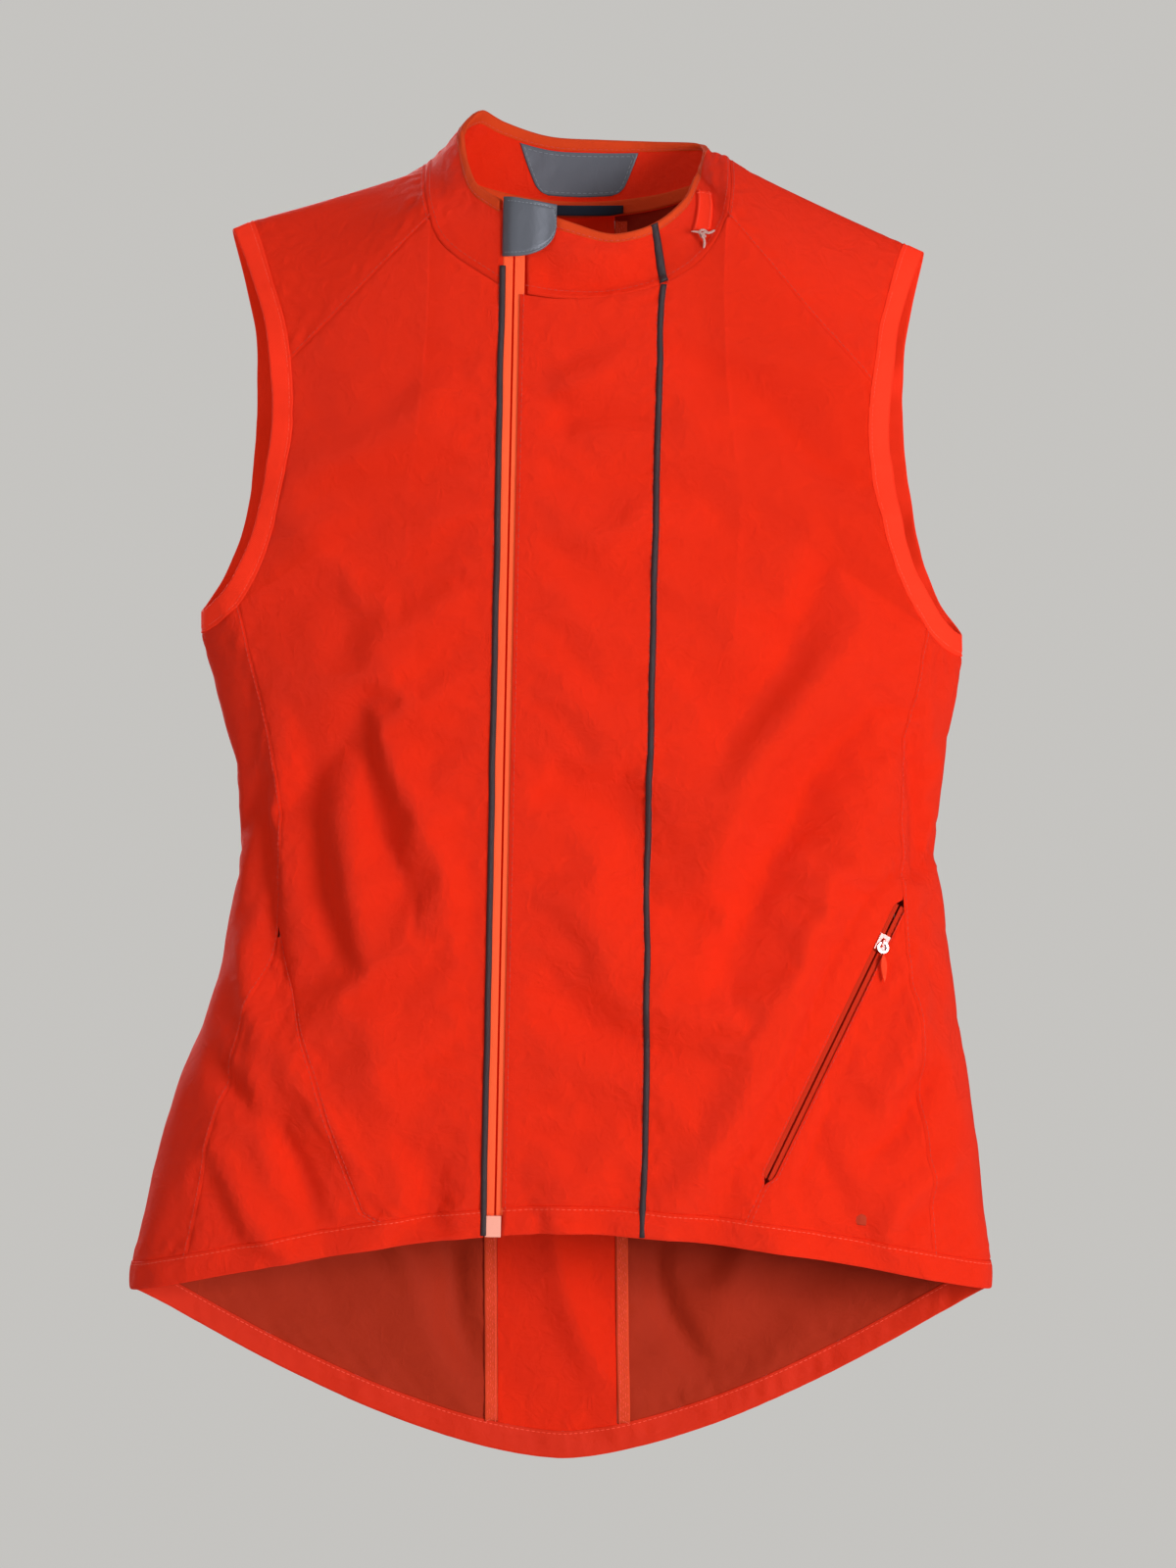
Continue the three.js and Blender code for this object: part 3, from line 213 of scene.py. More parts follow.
def knot_at(degrees):
    return np.interp(degrees, [k[0] for k in COLLAR_KNOTS], range(len(COLLAR_KNOTS)))


def neck_line(from_knot, to_knot, count=120):
    return curve_point(neck_knots, np.linspace(from_knot, to_knot, count) / LAST_KNOT)


ARMHOLE_KNOTS = [
    ("tip", 0, 0.985), ("front", 0.135, 0.92), ("front", 0.36, 0.845), ("front", 0.58, 0.83),
    ("front", 0.81, 0.86), ("front", 0.95, 0.93), ("fold", 1, 1), ("back", 0.92, 0.955),
    ("back", 0.80, 0.915), ("back", 0.58, 0.89), ("back", 0.35, 0.90), ("back", 0.14, 0.95)]
RAGLAN_FRONT, SIDE_FRONT, SIDE_BACK, RAGLAN_BACK = 2, 5, 7, 10


def armhole_knots(side):
    """The knots of the binding's free edge, and of its seam with the panels."""
    edge, seam = [], []
    for face, down, u in ARMHOLE_KNOTS:
        z = -(SHOULDER_DROP + (UNDERARM_DROP - SHOULDER_DROP) * down) - SIDE_TILT * side * SHOULDER_WIDTH / 2
        surface = back if face == "back" else front
        point = surface(side * u, z)
        inward = surface(side * u * 0.85, z) - point
        if face == "tip":
            point[1] = 0
            inward = np.array([-side, 0, 0.42])
        if face == "fold":
            inward = np.array([0, 0, -1.0])
        inward /= np.linalg.norm(inward)
        if down > 0.9 and face != "fold":
            inward += (0, 0, -1)
            inward /= np.linalg.norm(inward)
        edge.append(point)
        seam.append(point + inward * BINDING_WIDTH)
    return np.array(edge), np.array(seam)


armholes = {side: armhole_knots(side) for side in (-1, 1)}


def arm_seam(side, from_knot, to_knot, count=140):
    return curve_point(armholes[side][1], np.linspace(from_knot, to_knot, count) / 12 % 1, closed=True)


ZIP_TOP_X, ZIP_LEAN, ZIP_TOP_DROP = -35.6, 0.0196, 9
ZIP_PIPING_OFFSET, ZIP_RIGHT_EDGE = 6.5, 3.6


def zip_x(z):
    return ZIP_TOP_X + ZIP_LEAN * (z + ZIP_TOP_DROP)


hem_middle_z = -FRONT_LENGTH + FRONT_HEM_RISE
zip_hem_z = float(front_hem(shell_u(zip_x(hem_middle_z), hem_middle_z))) - 0.3
zip_bottom = front(shell_u(zip_x(zip_hem_z), zip_hem_z), zip_hem_z)
zip_neck_z = neck_seam(-115)[2]
zip_neck = front(shell_u(zip_x(zip_neck_z), zip_neck_z), zip_neck_z)
zip_up = (zip_neck - zip_bottom) / np.linalg.norm(zip_neck - zip_bottom)
zip_top = zip_bottom + zip_up * (-ZIP_TOP_DROP - zip_hem_z) / zip_up[2]


def beside_zip(offset, bottom_z, top_z, count=160):
    z = np.linspace(bottom_z, top_z, count)[:, None]
    return zip_top + zip_up * (z - zip_top[2]) / zip_up[2] + np.array([offset, 0, 0])


piping_top = neck_seam(COLLAR_KNOTS[PIPING_KNOT][0])


def piping_x(z):
    return piping_top[0] - 13 * np.sqrt(np.clip((piping_top[2] - z) / (FRONT_LENGTH + piping_top[2]), 0, 1))


zip_hem_u = shell_u(zip_x(-FRONT_LENGTH), -FRONT_LENGTH)
left_zip_seam = beside_zip(-ZIP_PIPING_OFFSET, front_hem(zip_hem_u) + HEM_BAND, neck_knots[-1][2])
right_zip_seam = beside_zip(ZIP_RIGHT_EDGE, front_hem(zip_hem_u) + HEM_BAND, neck_knots[0][2])
piping_hem_z = front_hem(shell_u(piping_x(-FRONT_LENGTH), -FRONT_LENGTH)) + HEM_BAND
piping_z = np.linspace(piping_hem_z, piping_top[2], 200)
piping_seam = front(shell_u(piping_x(piping_z), piping_z), piping_z)
piping_seam[-1] = piping_top

RAGLAN_NECK = {-1: (knot_at(197), knot_at(150)), 1: (knot_at(-15), knot_at(30))}


def raglan(side, is_back):
    neck_end = curve_point(neck_knots, RAGLAN_NECK[side][is_back] / LAST_KNOT)[0]
    arm_end = arm_seam(side, *2 * [RAGLAN_BACK if is_back else RAGLAN_FRONT], 1)[0]
    middle = [neck_end + (arm_end - neck_end) * t for t in (1 / 3, 2 / 3)]
    middle = [face_point(shell_u(p[0], p[2]), p[2], is_back) for p in middle]
    return curve_point([neck_end, *middle, arm_end], np.linspace(0, 1, 140))


def side_seam(side, is_back):
    hem_top = (back_hem if is_back else front_hem)(SIDE_SEAM_PLACE) + HEM_BAND
    arm_end = arm_seam(side, *2 * [SIDE_BACK if is_back else SIDE_FRONT], 1)[0]
    places = [face_point(side * SIDE_SEAM_PLACE, hem_top + (arm_end[2] - hem_top) * t, is_back)
              for t in (0, 0.25, 0.5, 0.75)]
    return curve_point([*places, arm_end], np.linspace(0, 1, 32 * 6 + 1))


raglans = {(side, b): raglan(side, b) for side in (-1, 1) for b in (0, 1)}
sides = {(side, b): side_seam(side, b) for side in (-1, 1) for b in (0, 1)}

POCKET_TOP_DROP, POCKET_DROP, LEFT_POCKET_LOWER, POCKET_MOUTH = 406, 161, 22, 4.2


def pocket_line(side):
    """The pocket seam, from the side seam down and in toward the hem, and its own directions."""
    seam = sides[side, 0]
    top_z = -POCKET_TOP_DROP - (LEFT_POCKET_LOWER if side < 0 else 0)
    coarse = seam[::6]
    start_index = 6 * int(np.argmax(coarse[:, 2] > top_z))
    start = seam[start_index]
    end = front(side * 0.47, start[2] - POCKET_DROP)
    up = (start - end) / np.linalg.norm(start - end)
    middle = (start + end) / 2
    u = shell_u(middle[0], middle[2])
    outward = np.cross(up, front(u + 0.02, middle[2]) - front(u - 0.02, middle[2]))
    outward *= -np.sign(outward[1]) / np.linalg.norm(outward)
    across = np.cross(-outward, up)
    across /= np.linalg.norm(across)
    hem = front(side * 0.43, front_hem(side * 0.43) + HEM_BAND)
    return start, end, hem, start_index, up, np.cross(up, across), across


pockets = {side: pocket_line(side) for side in (-1, 1)}


# ---- The drape ----
# The cloth is light and a little too big for its hanger, so it hangs in soft folds from the
# shoulders and crumples at the hips. Broad folds are listed, each from one place (x, z) to
# another with a half width and a height, and a cloth simulation of the body's tube then lets the
# cloth, grown by a little, buckle round them. The zips and the neck are held still.

FRONT_FOLDS = [
    (-165, -150, -95, -330, 15, 3.5), (-150, -215, -85, -420, 13, -4), (-128, -240, -60, -470, 15, 4),
    (-168, -290, -120, -470, 12, -4.5), (-150, -330, -95, -560, 15, 4.5), (-190, -300, -178, -520, 9, -5),
    (-205, -420, -120, -575, 10, 4.5), (-215, -480, -140, -600, 9, -4.5), (-212, -540, -160, -612, 8, 4),
    (-180, -455, -178, -560, 8, 4), (-120, -520, -70, -600, 12, -3.5),
    (-22, -112, 40, -92, 9, 2.2), (-26, -140, 42, -128, 8, -2), (-10, -205, 50, -180, 12, 2.4),
    (-20, -330, 40, -365, 16, -3), (-12, -400, 38, -440, 16, 2.5), (-10, -450, 44, -500, 13, -2.4),
    (165, -225, 70, -400, 14, 4.5), (172, -270, 75, -470, 12, -4.5), (180, -330, 88, -520, 14, 4.5),
    (150, -190, 78, -330, 12, -3), (186, -400, 110, -585, 12, -4), (120, -450, 70, -590, 15, 3.5),
    (205, -455, 170, -520, 8, 4.5), (212, -500, 160, -560, 8, -4.5), (215, -545, 172, -600, 8, 4.5),
    (200, -300, 200, -420, 8, -4), (95, -120, 165, -170, 12, -2), (-70, -110, -150, -165, 12, 2),
    (60, -70, 150, -120, 10, 1.6)]
BACK_FOLDS = [
    (-150, -150, -80, -400, 16, 4), (-120, -250, -50, -560, 15, -4), (-170, -300, -110, -600, 13, 4.5),
    (150, -160, 75, -420, 16, 4), (115, -280, 60, -580, 14, -4.5), (175, -320, 120, -600, 13, 4.5),
    (-60, -120, 60, -135, 12, 2), (-190, -480, -90, -640, 10, -4), (190, -480, 85, -640, 10, -4),
    (0, -250, 10, -520, 18, 3.5), (-30, -560, 20, -700, 10, -3.5), (40, -600, 70, -690, 9, 3.5),
    (-80, -600, -60, -690, 9, 3)]
TUBE_TOP, TUBE_BOTTOM, TUBE_STEP = -66, -744, 5


def shell_angle(points):
    """The place round the tube: 0 at the right side fold, negative over the front."""
    x, y, z = points[..., 0], points[..., 1], points[..., 2]
    depth = np.where(y < 0, front_depth(z), BACK_DEPTH) * np.maximum(ridge(x, z), 0.15)
    return np.arctan2(y / depth, shell_u(x, z))


def fold_height(x, z, folds):
    total = np.zeros(np.shape(x))
    for x0, z0, x1, z1, half_width, height in folds:
        length = math.hypot(x1 - x0, z1 - z0)
        t = ((x - x0) * (x1 - x0) + (z - z0) * (z1 - z0)) / length ** 2
        off = ((x - x0) * (z1 - z0) - (z - z0) * (x1 - x0)) / length
        off = off + half_width * 0.5 * np.sin(t * 5 + x0)
        taper = smooth((t + 0.15) / 0.45) * smooth((1.15 - t) / 0.45)
        total += 1.9 * height * taper * np.exp(-(off / half_width) ** 2)
    return total


def hold(points):
    """How firmly each place is held, from 0 for free cloth to 1 at the zips and the neck."""
    x, y, z = points[..., 0], points[..., 1], points[..., 2]
    is_front = y < 0
    from_zip = np.abs(x - (zip_x(z) - 1)) - 7.5
    free = np.where(is_front, smooth(from_zip / 26), 1)
    start, end, *_ = pockets[1]
    along_zip = end[:2] - start[:2], end[2] - start[2]
    t = np.clip((z - start[2]) / along_zip[1], -0.05, 1)
    from_pocket = np.abs(x - (start[0] + t * (end[0] - start[0]))) - 7.5
    past = np.maximum(z - start[2], start[2] - POCKET_DROP - z).clip(0)
    free = free * np.where(is_front, smooth(np.hypot(from_pocket.clip(0), past) / 20), 1)
    neck_drop = np.where(is_front, 64, 0) * np.sqrt(np.clip(1 - (x / 96) ** 2, 0, 1))
    held_down_to = np.minimum(shoulder_line(x), 24) - np.where(np.abs(x) < 96, neck_drop, 0) - 14
    free = free * smooth((held_down_to - z) / 70)
    return 1 - free


dense = np.linspace(-math.pi, math.pi, 4001)
radius = np.ones(4001)
for _ in range(30):
    radius /= (np.abs(radius * np.cos(dense)) ** 2.4 + (radius * np.sin(dense)) ** 2) ** 0.45
ring = face_point(radius * np.cos(dense), -400, np.sin(dense) > 0)
TUBE_COLUMNS = 200
ring_share = lengths_along(ring) / lengths_along(ring)[-1]
tube_angles = np.interp(np.linspace(0, 1, TUBE_COLUMNS + 1), ring_share, dense)
tube_u = np.interp(tube_angles, dense, radius * np.cos(dense))[:-1]
tube_back = np.sin(tube_angles[:-1]) > 0
tube_z = np.arange(TUBE_TOP, TUBE_BOTTOM, -TUBE_STEP, dtype=float)
tube_rest = face_point(tube_u[None, :], tube_z[:, None], tube_back[None, :])


def outward_of(points):
    """Unit directions straight out of the shell, level with the ground."""
    x, y, z = points[..., 0], points[..., 1], points[..., 2]
    away = np.stack([shell_u(x, z) ** 3, y / 60, 0 * z], -1)
    return away / np.maximum(np.linalg.norm(away, axis=-1, keepdims=True), 1e-6)


laid = np.where(tube_back, fold_height(tube_rest[..., 0], tube_rest[..., 2], BACK_FOLDS),
                fold_height(tube_rest[..., 0], tube_rest[..., 2], FRONT_FOLDS))
laid = laid + 0.9 * ripple(tube_rest, 34, 3) + 0.45 * ripple(tube_rest, 17, 4)
tube_hold = hold(tube_rest)
tube_start = tube_rest + outward_of(tube_rest) * (laid * (1 - tube_hold))[..., None]
tube_end = tube_start
rows = len(tube_z)
tube = bpy.data.meshes.new("tube")
faces = [(r * TUBE_COLUMNS + c, r * TUBE_COLUMNS + (c + 1) % TUBE_COLUMNS,
          (r + 1) * TUBE_COLUMNS + (c + 1) % TUBE_COLUMNS, (r + 1) * TUBE_COLUMNS + c)
         for r in range(rows - 1) for c in range(TUBE_COLUMNS)]
# Simulated at ten times its size, where the solver's default tolerances suit cloth
tube.from_pydata((tube_start.reshape(-1, 3) * 0.01).tolist(), [], faces)
body = bpy.data.objects.new("tube", tube)
scene.collection.objects.link(body)
group = body.vertex_groups.new(name="hold")
grip = np.clip(0.03 + tube_hold ** 2, 0, 1).ravel()
for level in range(21):
    members = np.nonzero(np.round(grip * 20) == level)[0]
    group.add(members.tolist(), max(level / 20, 0.03), "REPLACE")
cloth = body.modifiers.new("cloth", "CLOTH").settings
cloth.quality = 5
cloth.mass = 0.3
cloth.tension_stiffness = cloth.compression_stiffness = 20
cloth.shear_stiffness = 8
cloth.bending_stiffness = 0.8
cloth.tension_damping = cloth.compression_damping = cloth.shear_damping = 12
cloth.air_damping = 6
cloth.vertex_group_mass = "hold"
cloth.pin_stiffness = 0.6
cloth.shrink_min = -0.03
cloth.effector_weights.gravity = 0.05
scene.frame_end = 45
for number in range(1, 46):
    scene.frame_set(number)
evaluated = body.evaluated_get(bpy.context.evaluated_depsgraph_get())
moved = np.zeros(len(tube.vertices) * 3)
evaluated.data.vertices.foreach_get("co", moved)
tube_end = moved.reshape(tube_start.shape) * 100
bpy.data.objects.remove(body)
bpy.data.meshes.remove(tube)
scene.frame_set(1)
# The cloth's growth goes mostly into folds, and makes the gilet little longer or wider
tube_shift = (tube_end - tube_rest) * (0.55, 1, 0.2) * (1 - smooth((tube_hold - 0.5) / 0.5))[..., None]
reach = np.linalg.norm(tube_shift, axis=-1, keepdims=True)
tube_shift = tube_shift * np.minimum(1, 14 / np.maximum(reach, 1e-6))
tube_shift = np.concatenate([tube_shift, tube_shift[:, :1]], 1)


def draped(points):
    """Cloth points moved from the shell's form to where the drape takes them."""
    points = np.asarray(points, float)
    column = np.interp(shell_angle(points), tube_angles, np.arange(TUBE_COLUMNS + 1))
    row = np.clip((TUBE_TOP - points[..., 2]) / TUBE_STEP, 0, len(tube_z) - 1.001)
    c, r = np.minimum(column.astype(int), TUBE_COLUMNS - 1), row.astype(int)
    tc, tr = (column - c)[..., None], (row - r)[..., None]
    shift = ((tube_shift[r, c] * (1 - tc) + tube_shift[r, c + 1] * tc) * (1 - tr)
             + (tube_shift[r + 1, c] * (1 - tc) + tube_shift[r + 1, c + 1] * tc) * tr)
    fade = smooth((TUBE_TOP - points[..., 2]) / 40)[..., None]
    shift = shift * fade * (1 - hold(points) ** 3)[..., None]
    return points + shift


# ---- Cloth ----
# The shell's cloth is a fine windproof weave in fluorescent orange, slightly shiny, with a paler
# coated inner face. Every woven or knitted piece shares one pattern of threads and creases, and
# its colour carries painted shade in the creases and a painted glow for the fluorescent dye.

weave = bpy.data.node_groups.new("cloth_weave", "ShaderNodeTree")
for name, value in (("Thread Pitch", 0.0004), ("Crease Size", 0.012), ("Thread Height", 0.3)):
    weave.interface.new_socket(name, in_out="INPUT", socket_type="NodeSocketFloat").default_value = value
for name in ("Height", "Shade"):
    weave.interface.new_socket(name, in_out="OUTPUT", socket_type="NodeSocketFloat")
nodes, links = weave.nodes, weave.links
entry, leave = nodes.new("NodeGroupInput"), nodes.new("NodeGroupOutput")
uv = nodes.new("ShaderNodeUVMap")
uv.uv_map = "cloth"
place = nodes.new("ShaderNodeTexCoord")


def maths(tree, operation, a, b=None, c=None):
    node = tree.nodes.new("ShaderNodeMath")
    node.operation = operation
    for socket, value in zip(node.inputs, (a, b, c)):
        if isinstance(value, (int, float)):
            socket.default_value = value
        elif value is not None:
            tree.links.new(value, socket)
    return node.outputs[0]


split = nodes.new("ShaderNodeSeparateXYZ")
links.new(uv.outputs["UV"], split.inputs[0])
turns = [maths(weave, "SINE", maths(weave, "DIVIDE", maths(weave, "MULTIPLY", split.outputs[k], 2 * math.pi),
                                    entry.outputs["Thread Pitch"])) for k in (0, 1)]
threads = maths(weave, "MULTIPLY", turns[0], turns[1])
crease = nodes.new("ShaderNodeTexNoise")
crease.inputs["Detail"].default_value = 5
crease.inputs["Roughness"].default_value = 0.55
crease.inputs["Distortion"].default_value = 0.6
links.new(place.outputs["Object"], crease.inputs["Vector"])
links.new(maths(weave, "DIVIDE", 1.0, entry.outputs["Crease Size"]), crease.inputs["Scale"])
creased = maths(weave, "ABSOLUTE", maths(weave, "SUBTRACT", crease.outputs["Fac"], 0.5))
height = maths(weave, "ADD", maths(weave, "MULTIPLY", threads, entry.outputs["Thread Height"]),
               maths(weave, "MULTIPLY", creased, -9.0))
links.new(height, leave.inputs["Height"])
# The crease noise that sets the relief also sets the colour: painted crease shade, mixed with a random tone
# and a fine thread pattern.
tone_and_crease_shade = maths(weave, "MULTIPLY_ADD", crease.outputs["Fac"], 0.5, 0.25)
links.new(maths(weave, "MULTIPLY_ADD", threads, 0.12, tone_and_crease_shade), leave.inputs["Shade"])


def fabric(name, colour, dark, roughness=0.6, sheen=0.25, painted_glow=0.0, pitch=0.0004, crease=0.012,
           thread=0.3, bump=0.0001):
    """A woven cloth: colour where it is plain, dark for random tone and painted shade in its creases, glow
    for a painted emission that stands in for the brightness of fluorescent dye.
    """
    material = bpy.data.materials.new(name)
    material.use_nodes = True
    tree = material.node_tree
    shader = tree.nodes["Principled BSDF"]
    pattern = tree.nodes.new("ShaderNodeGroup")
    pattern.node_tree = weave
    for key, value in (("Thread Pitch", pitch), ("Crease Size", crease), ("Thread Height", thread)):
        pattern.inputs[key].default_value = value
    mix = tree.nodes.new("ShaderNodeMix")
    mix.data_type = "RGBA"
    mix.inputs[6].default_value = (*dark, 1)
    mix.inputs[7].default_value = (*colour, 1)
    tree.links.new(pattern.outputs["Shade"], mix.inputs[0])
    tree.links.new(mix.outputs[2], shader.inputs["Base Color"])
    relief = tree.nodes.new("ShaderNodeBump")
    relief.inputs["Distance"].default_value = bump
    relief.inputs["Strength"].default_value = 1
    tree.links.new(pattern.outputs["Height"], relief.inputs["Height"])
    tree.links.new(relief.outputs[0], shader.inputs["Normal"])
    shader.inputs["Roughness"].default_value = roughness
    shader.inputs["Sheen Weight"].default_value = sheen
    shader.inputs["Sheen Roughness"].default_value = 0.4
    shader.inputs["Sheen Tint"].default_value = (*colour, 1)
    shader.inputs["Specular IOR Level"].default_value = 0.22
    # Painted glow: an emission in the cloth's own colour, standing in for the extra brightness of fluorescent
    # dye.
    if painted_glow:
        tree.links.new(mix.outputs[2], shader.inputs["Emission Color"])
        shader.inputs["Emission Strength"].default_value = painted_glow
    return material


# The shell cloth's glow is painted light: emission standing in for its fluorescent brightness.
shell_cloth = fabric("shell_cloth", (0.95, 0.026, 0.0006), (0.80, 0.015, 0.0003), sheen=0.05, painted_glow=0.10,
                     bump=0.00028)
lining_face = fabric("coated_inner_face", (0.46, 0.026, 0.003), (0.37, 0.017, 0.002), roughness=0.72,
                     sheen=0.04)


def spaced_shares(length, step, edge_rows=(0.5, 1.2, 2.2)):
    """Shares of a length, evenly spaced but with close rows beside both ends."""
    inner = np.linspace(edge_rows[-1] + step, length - edge_rows[-1] - step, max(int(length / step) - 2, 2))
    close = np.array([0, *edge_rows])
    return np.concatenate([close, inner, length - close[::-1]]) / length


def grid_normals(grid):
    across = np.gradient(grid, axis=1)
    up = np.gradient(grid, axis=0)
    normals = np.cross(across, up)
    normals /= np.maximum(np.linalg.norm(normals, axis=-1, keepdims=True), 1e-9)
    centre = np.array([0, 0, -FRONT_LENGTH / 2])
    outward = np.sum(normals * (grid - centre))
    return normals * (1 if outward >= 0 else -1), outward >= 0


def coons(bottom, top, left, right, u, v):
    """A sheet between four edge lines: bottom and top run the same way, the others up."""
    b, t, l, r = along(bottom, u), along(top, u), along(left, v), along(right, v)
    u, v = u[None, :, None], v[:, None, None]
    return ((1 - v) * b[None] + v * t[None] + (1 - u) * l[:, None] + u * r[:, None]
            - (1 - u) * (1 - v) * b[0] - u * (1 - v) * b[-1] - (1 - u) * v * t[0] - u * v * t[-1])


def edge_distances(grid):
    """Distance in millimetres from each point to the grid's left, right, lower and upper edges."""
    rows = np.pad(np.cumsum(np.linalg.norm(np.diff(grid, axis=1), axis=-1), axis=1), ((0, 0), (1, 0)))
    columns = np.pad(np.cumsum(np.linalg.norm(np.diff(grid, axis=0), axis=-1), axis=0), ((1, 0), (0, 0)))
    return rows, rows[:, -1:] - rows, columns, columns[-1:] - columns


def slab(name, grid, inner, outer, outer_material, inner_material=None):
    """A closed sheet of cloth between two lifts, in millimetres, off a grid of points."""
    rows, columns = grid.shape[:2]
    normals, faced = grid_normals(grid)
    count = rows * columns
    skins = [grid + normals * np.broadcast_to(lift, (rows, columns))[..., None] for lift in (inner, outer)]
    index = np.arange(count).reshape(rows, columns)
    a, b, c, d = index[:-1, :-1], index[:-1, 1:], index[1:, 1:], index[1:, :-1]
    outside = np.stack([a, b, c, d], -1).reshape(-1, 4) + count
    inside = np.stack([a, d, c, b], -1).reshape(-1, 4)
    border = np.concatenate([index[0, :-1], index[:-1, -1], index[-1, :0:-1], index[:0:-1, 0]])
    following = np.roll(border, -1)
    walls = np.stack([border, following, following + count, border + count], -1)
    faces = np.concatenate([outside, inside, walls])
    if not faced:
        faces = faces[:, ::-1]
    mesh = bpy.data.meshes.new(name)
    mesh.from_pydata((np.concatenate([s.reshape(-1, 3) for s in skins]) * 0.001).tolist(), [], faces.tolist())
    mesh.materials.append(outer_material)
    if inner_material:
        mesh.materials.append(inner_material)
        index_of = np.zeros(len(faces), np.int32)
        index_of[len(outside):len(outside) + len(inside)] = 1
        mesh.polygons.foreach_set("material_index", index_of)
    mesh.polygons.foreach_set("use_smooth", np.ones(len(faces), bool))
    from_left, _, from_bottom, _ = edge_distances(grid)
    middle = from_left - from_left[:, columns // 2][:, None]
    plane = np.stack([middle, grid[..., 2]], -1).reshape(-1, 2) * 0.001
    loops = np.zeros(len(mesh.loops), np.int32)
    mesh.loops.foreach_get("vertex_index", loops)
    layer = mesh.uv_layers.new(name="cloth")
    layer.data.foreach_set("uv", plane[loops % count].astype(np.float32).ravel())
    piece = bpy.data.objects.new(name, mesh)
    scene.collection.objects.link(piece)
    from_left, _, from_bottom, _ = edge_distances(grid)
    return piece


# ---- Shell panels ----
# Twelve panels of the shell's cloth, sewn together edge to edge: three at the front with a hip
# panel below each pocket seam, two round the sides, two yokes and three at the back. The cloth
# puckers a little beside every seam and dips into it.

CLOTH_OUTER, CLOTH_INNER = 0.75, 0.3
SEAM_DIP, SEAM_HALF = 0.4, 1.1
PUCKER_HEIGHT, PUCKER_PITCH, PUCKER_REACH = 0.55, 9, 5


def puckered(grid, height, seed):
    """Small ridges that run away from each seam and are highest a few millimetres from it."""
    total = np.zeros(grid.shape[:2])
    for k, distance in enumerate(edge_distances(grid)):
        profile = distance / PUCKER_REACH * np.exp(1 - distance / PUCKER_REACH)
        total += profile * ripple(grid, PUCKER_PITCH, seed + k)
    total = total * smooth(np.minimum.reduce(edge_distances(grid)) / 2.5)
    return grid + grid_normals(grid)[0] * (height * total)[..., None]


def on_form(points, is_back):
    """How far points lie off the shell's form, toward the back."""
    form = face_point(shell_u(points[:, 0], points[:, 2]), points[:, 2], is_back)
    return points - np.stack([0 * form[:, 1], form[:, 1], 0 * form[:, 1]], -1)


def panel(name, bottom, top, left, right, seed, step=2.6, inner_material=lining_face, pucker=PUCKER_HEIGHT,
          face=None):
    """face is 0 for a panel that lies on the front of the form and 1 for the back."""
    width = max(lengths_along(bottom)[-1], lengths_along(top)[-1])
    height = max(lengths_along(left)[-1], lengths_along(right)[-1])
    across, up = spaced_shares(width, step), spaced_shares(height, step)
    grid = coons(bottom, top, left, right, across, up)
    if face is not None:
        # Only what the edges lie off the form is spread between them, so that the panel itself is smooth
        b, t, l, r = (on_form(along(line, share), face) for line, share in
                      ((bottom, across), (top, across), (left, up), (right, up)))
        u, v = across[None, :, None], up[:, None, None]
        off = ((1 - v) * b[None] + v * t[None] + (1 - u) * l[:, None] + u * r[:, None]
               - (1 - u) * (1 - v) * b[0] - u * (1 - v) * b[-1] - (1 - u) * v * t[0] - u * v * t[-1])
        form = face_point(shell_u(grid[..., 0], grid[..., 2]), grid[..., 2], face)
        grid[..., 1] = form[..., 1] + off[..., 1]
    nearest = np.minimum.reduce(edge_distances(grid))
    grid = puckered(draped(grid), pucker, seed)
    lift = CLOTH_OUTER - SEAM_DIP * np.exp(-(nearest / SEAM_HALF) ** 2)
    piece = slab(name, grid, CLOTH_INNER, lift, shell_cloth, inner_material)
    surfaces[name] = grid + grid_normals(grid)[0] * (CLOTH_OUTER + 0.08)
    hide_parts(name)
    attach(piece, "root")
    return piece


def pocket_edge(side, shift):
    start, end, hem, _, _, _, across = pockets[side]
    mouth = [end + (start - end) * t + across * shift for t in (0.03, 0.25, 0.5, 0.75, 0.97)]
    return np.array([hem, end, *mouth, start])


def hem_line(is_back, from_u, to_u, count=120):
    u = np.linspace(from_u, to_u, count)
    return face_point(u, (back_hem if is_back else front_hem)(u) + HEM_BAND, is_back)


def ended(line, first, last):
    line = line.copy()
    line[0], line[-1] = first, last
    return line


def hem_u(point):
    return shell_u(point[0], point[2])


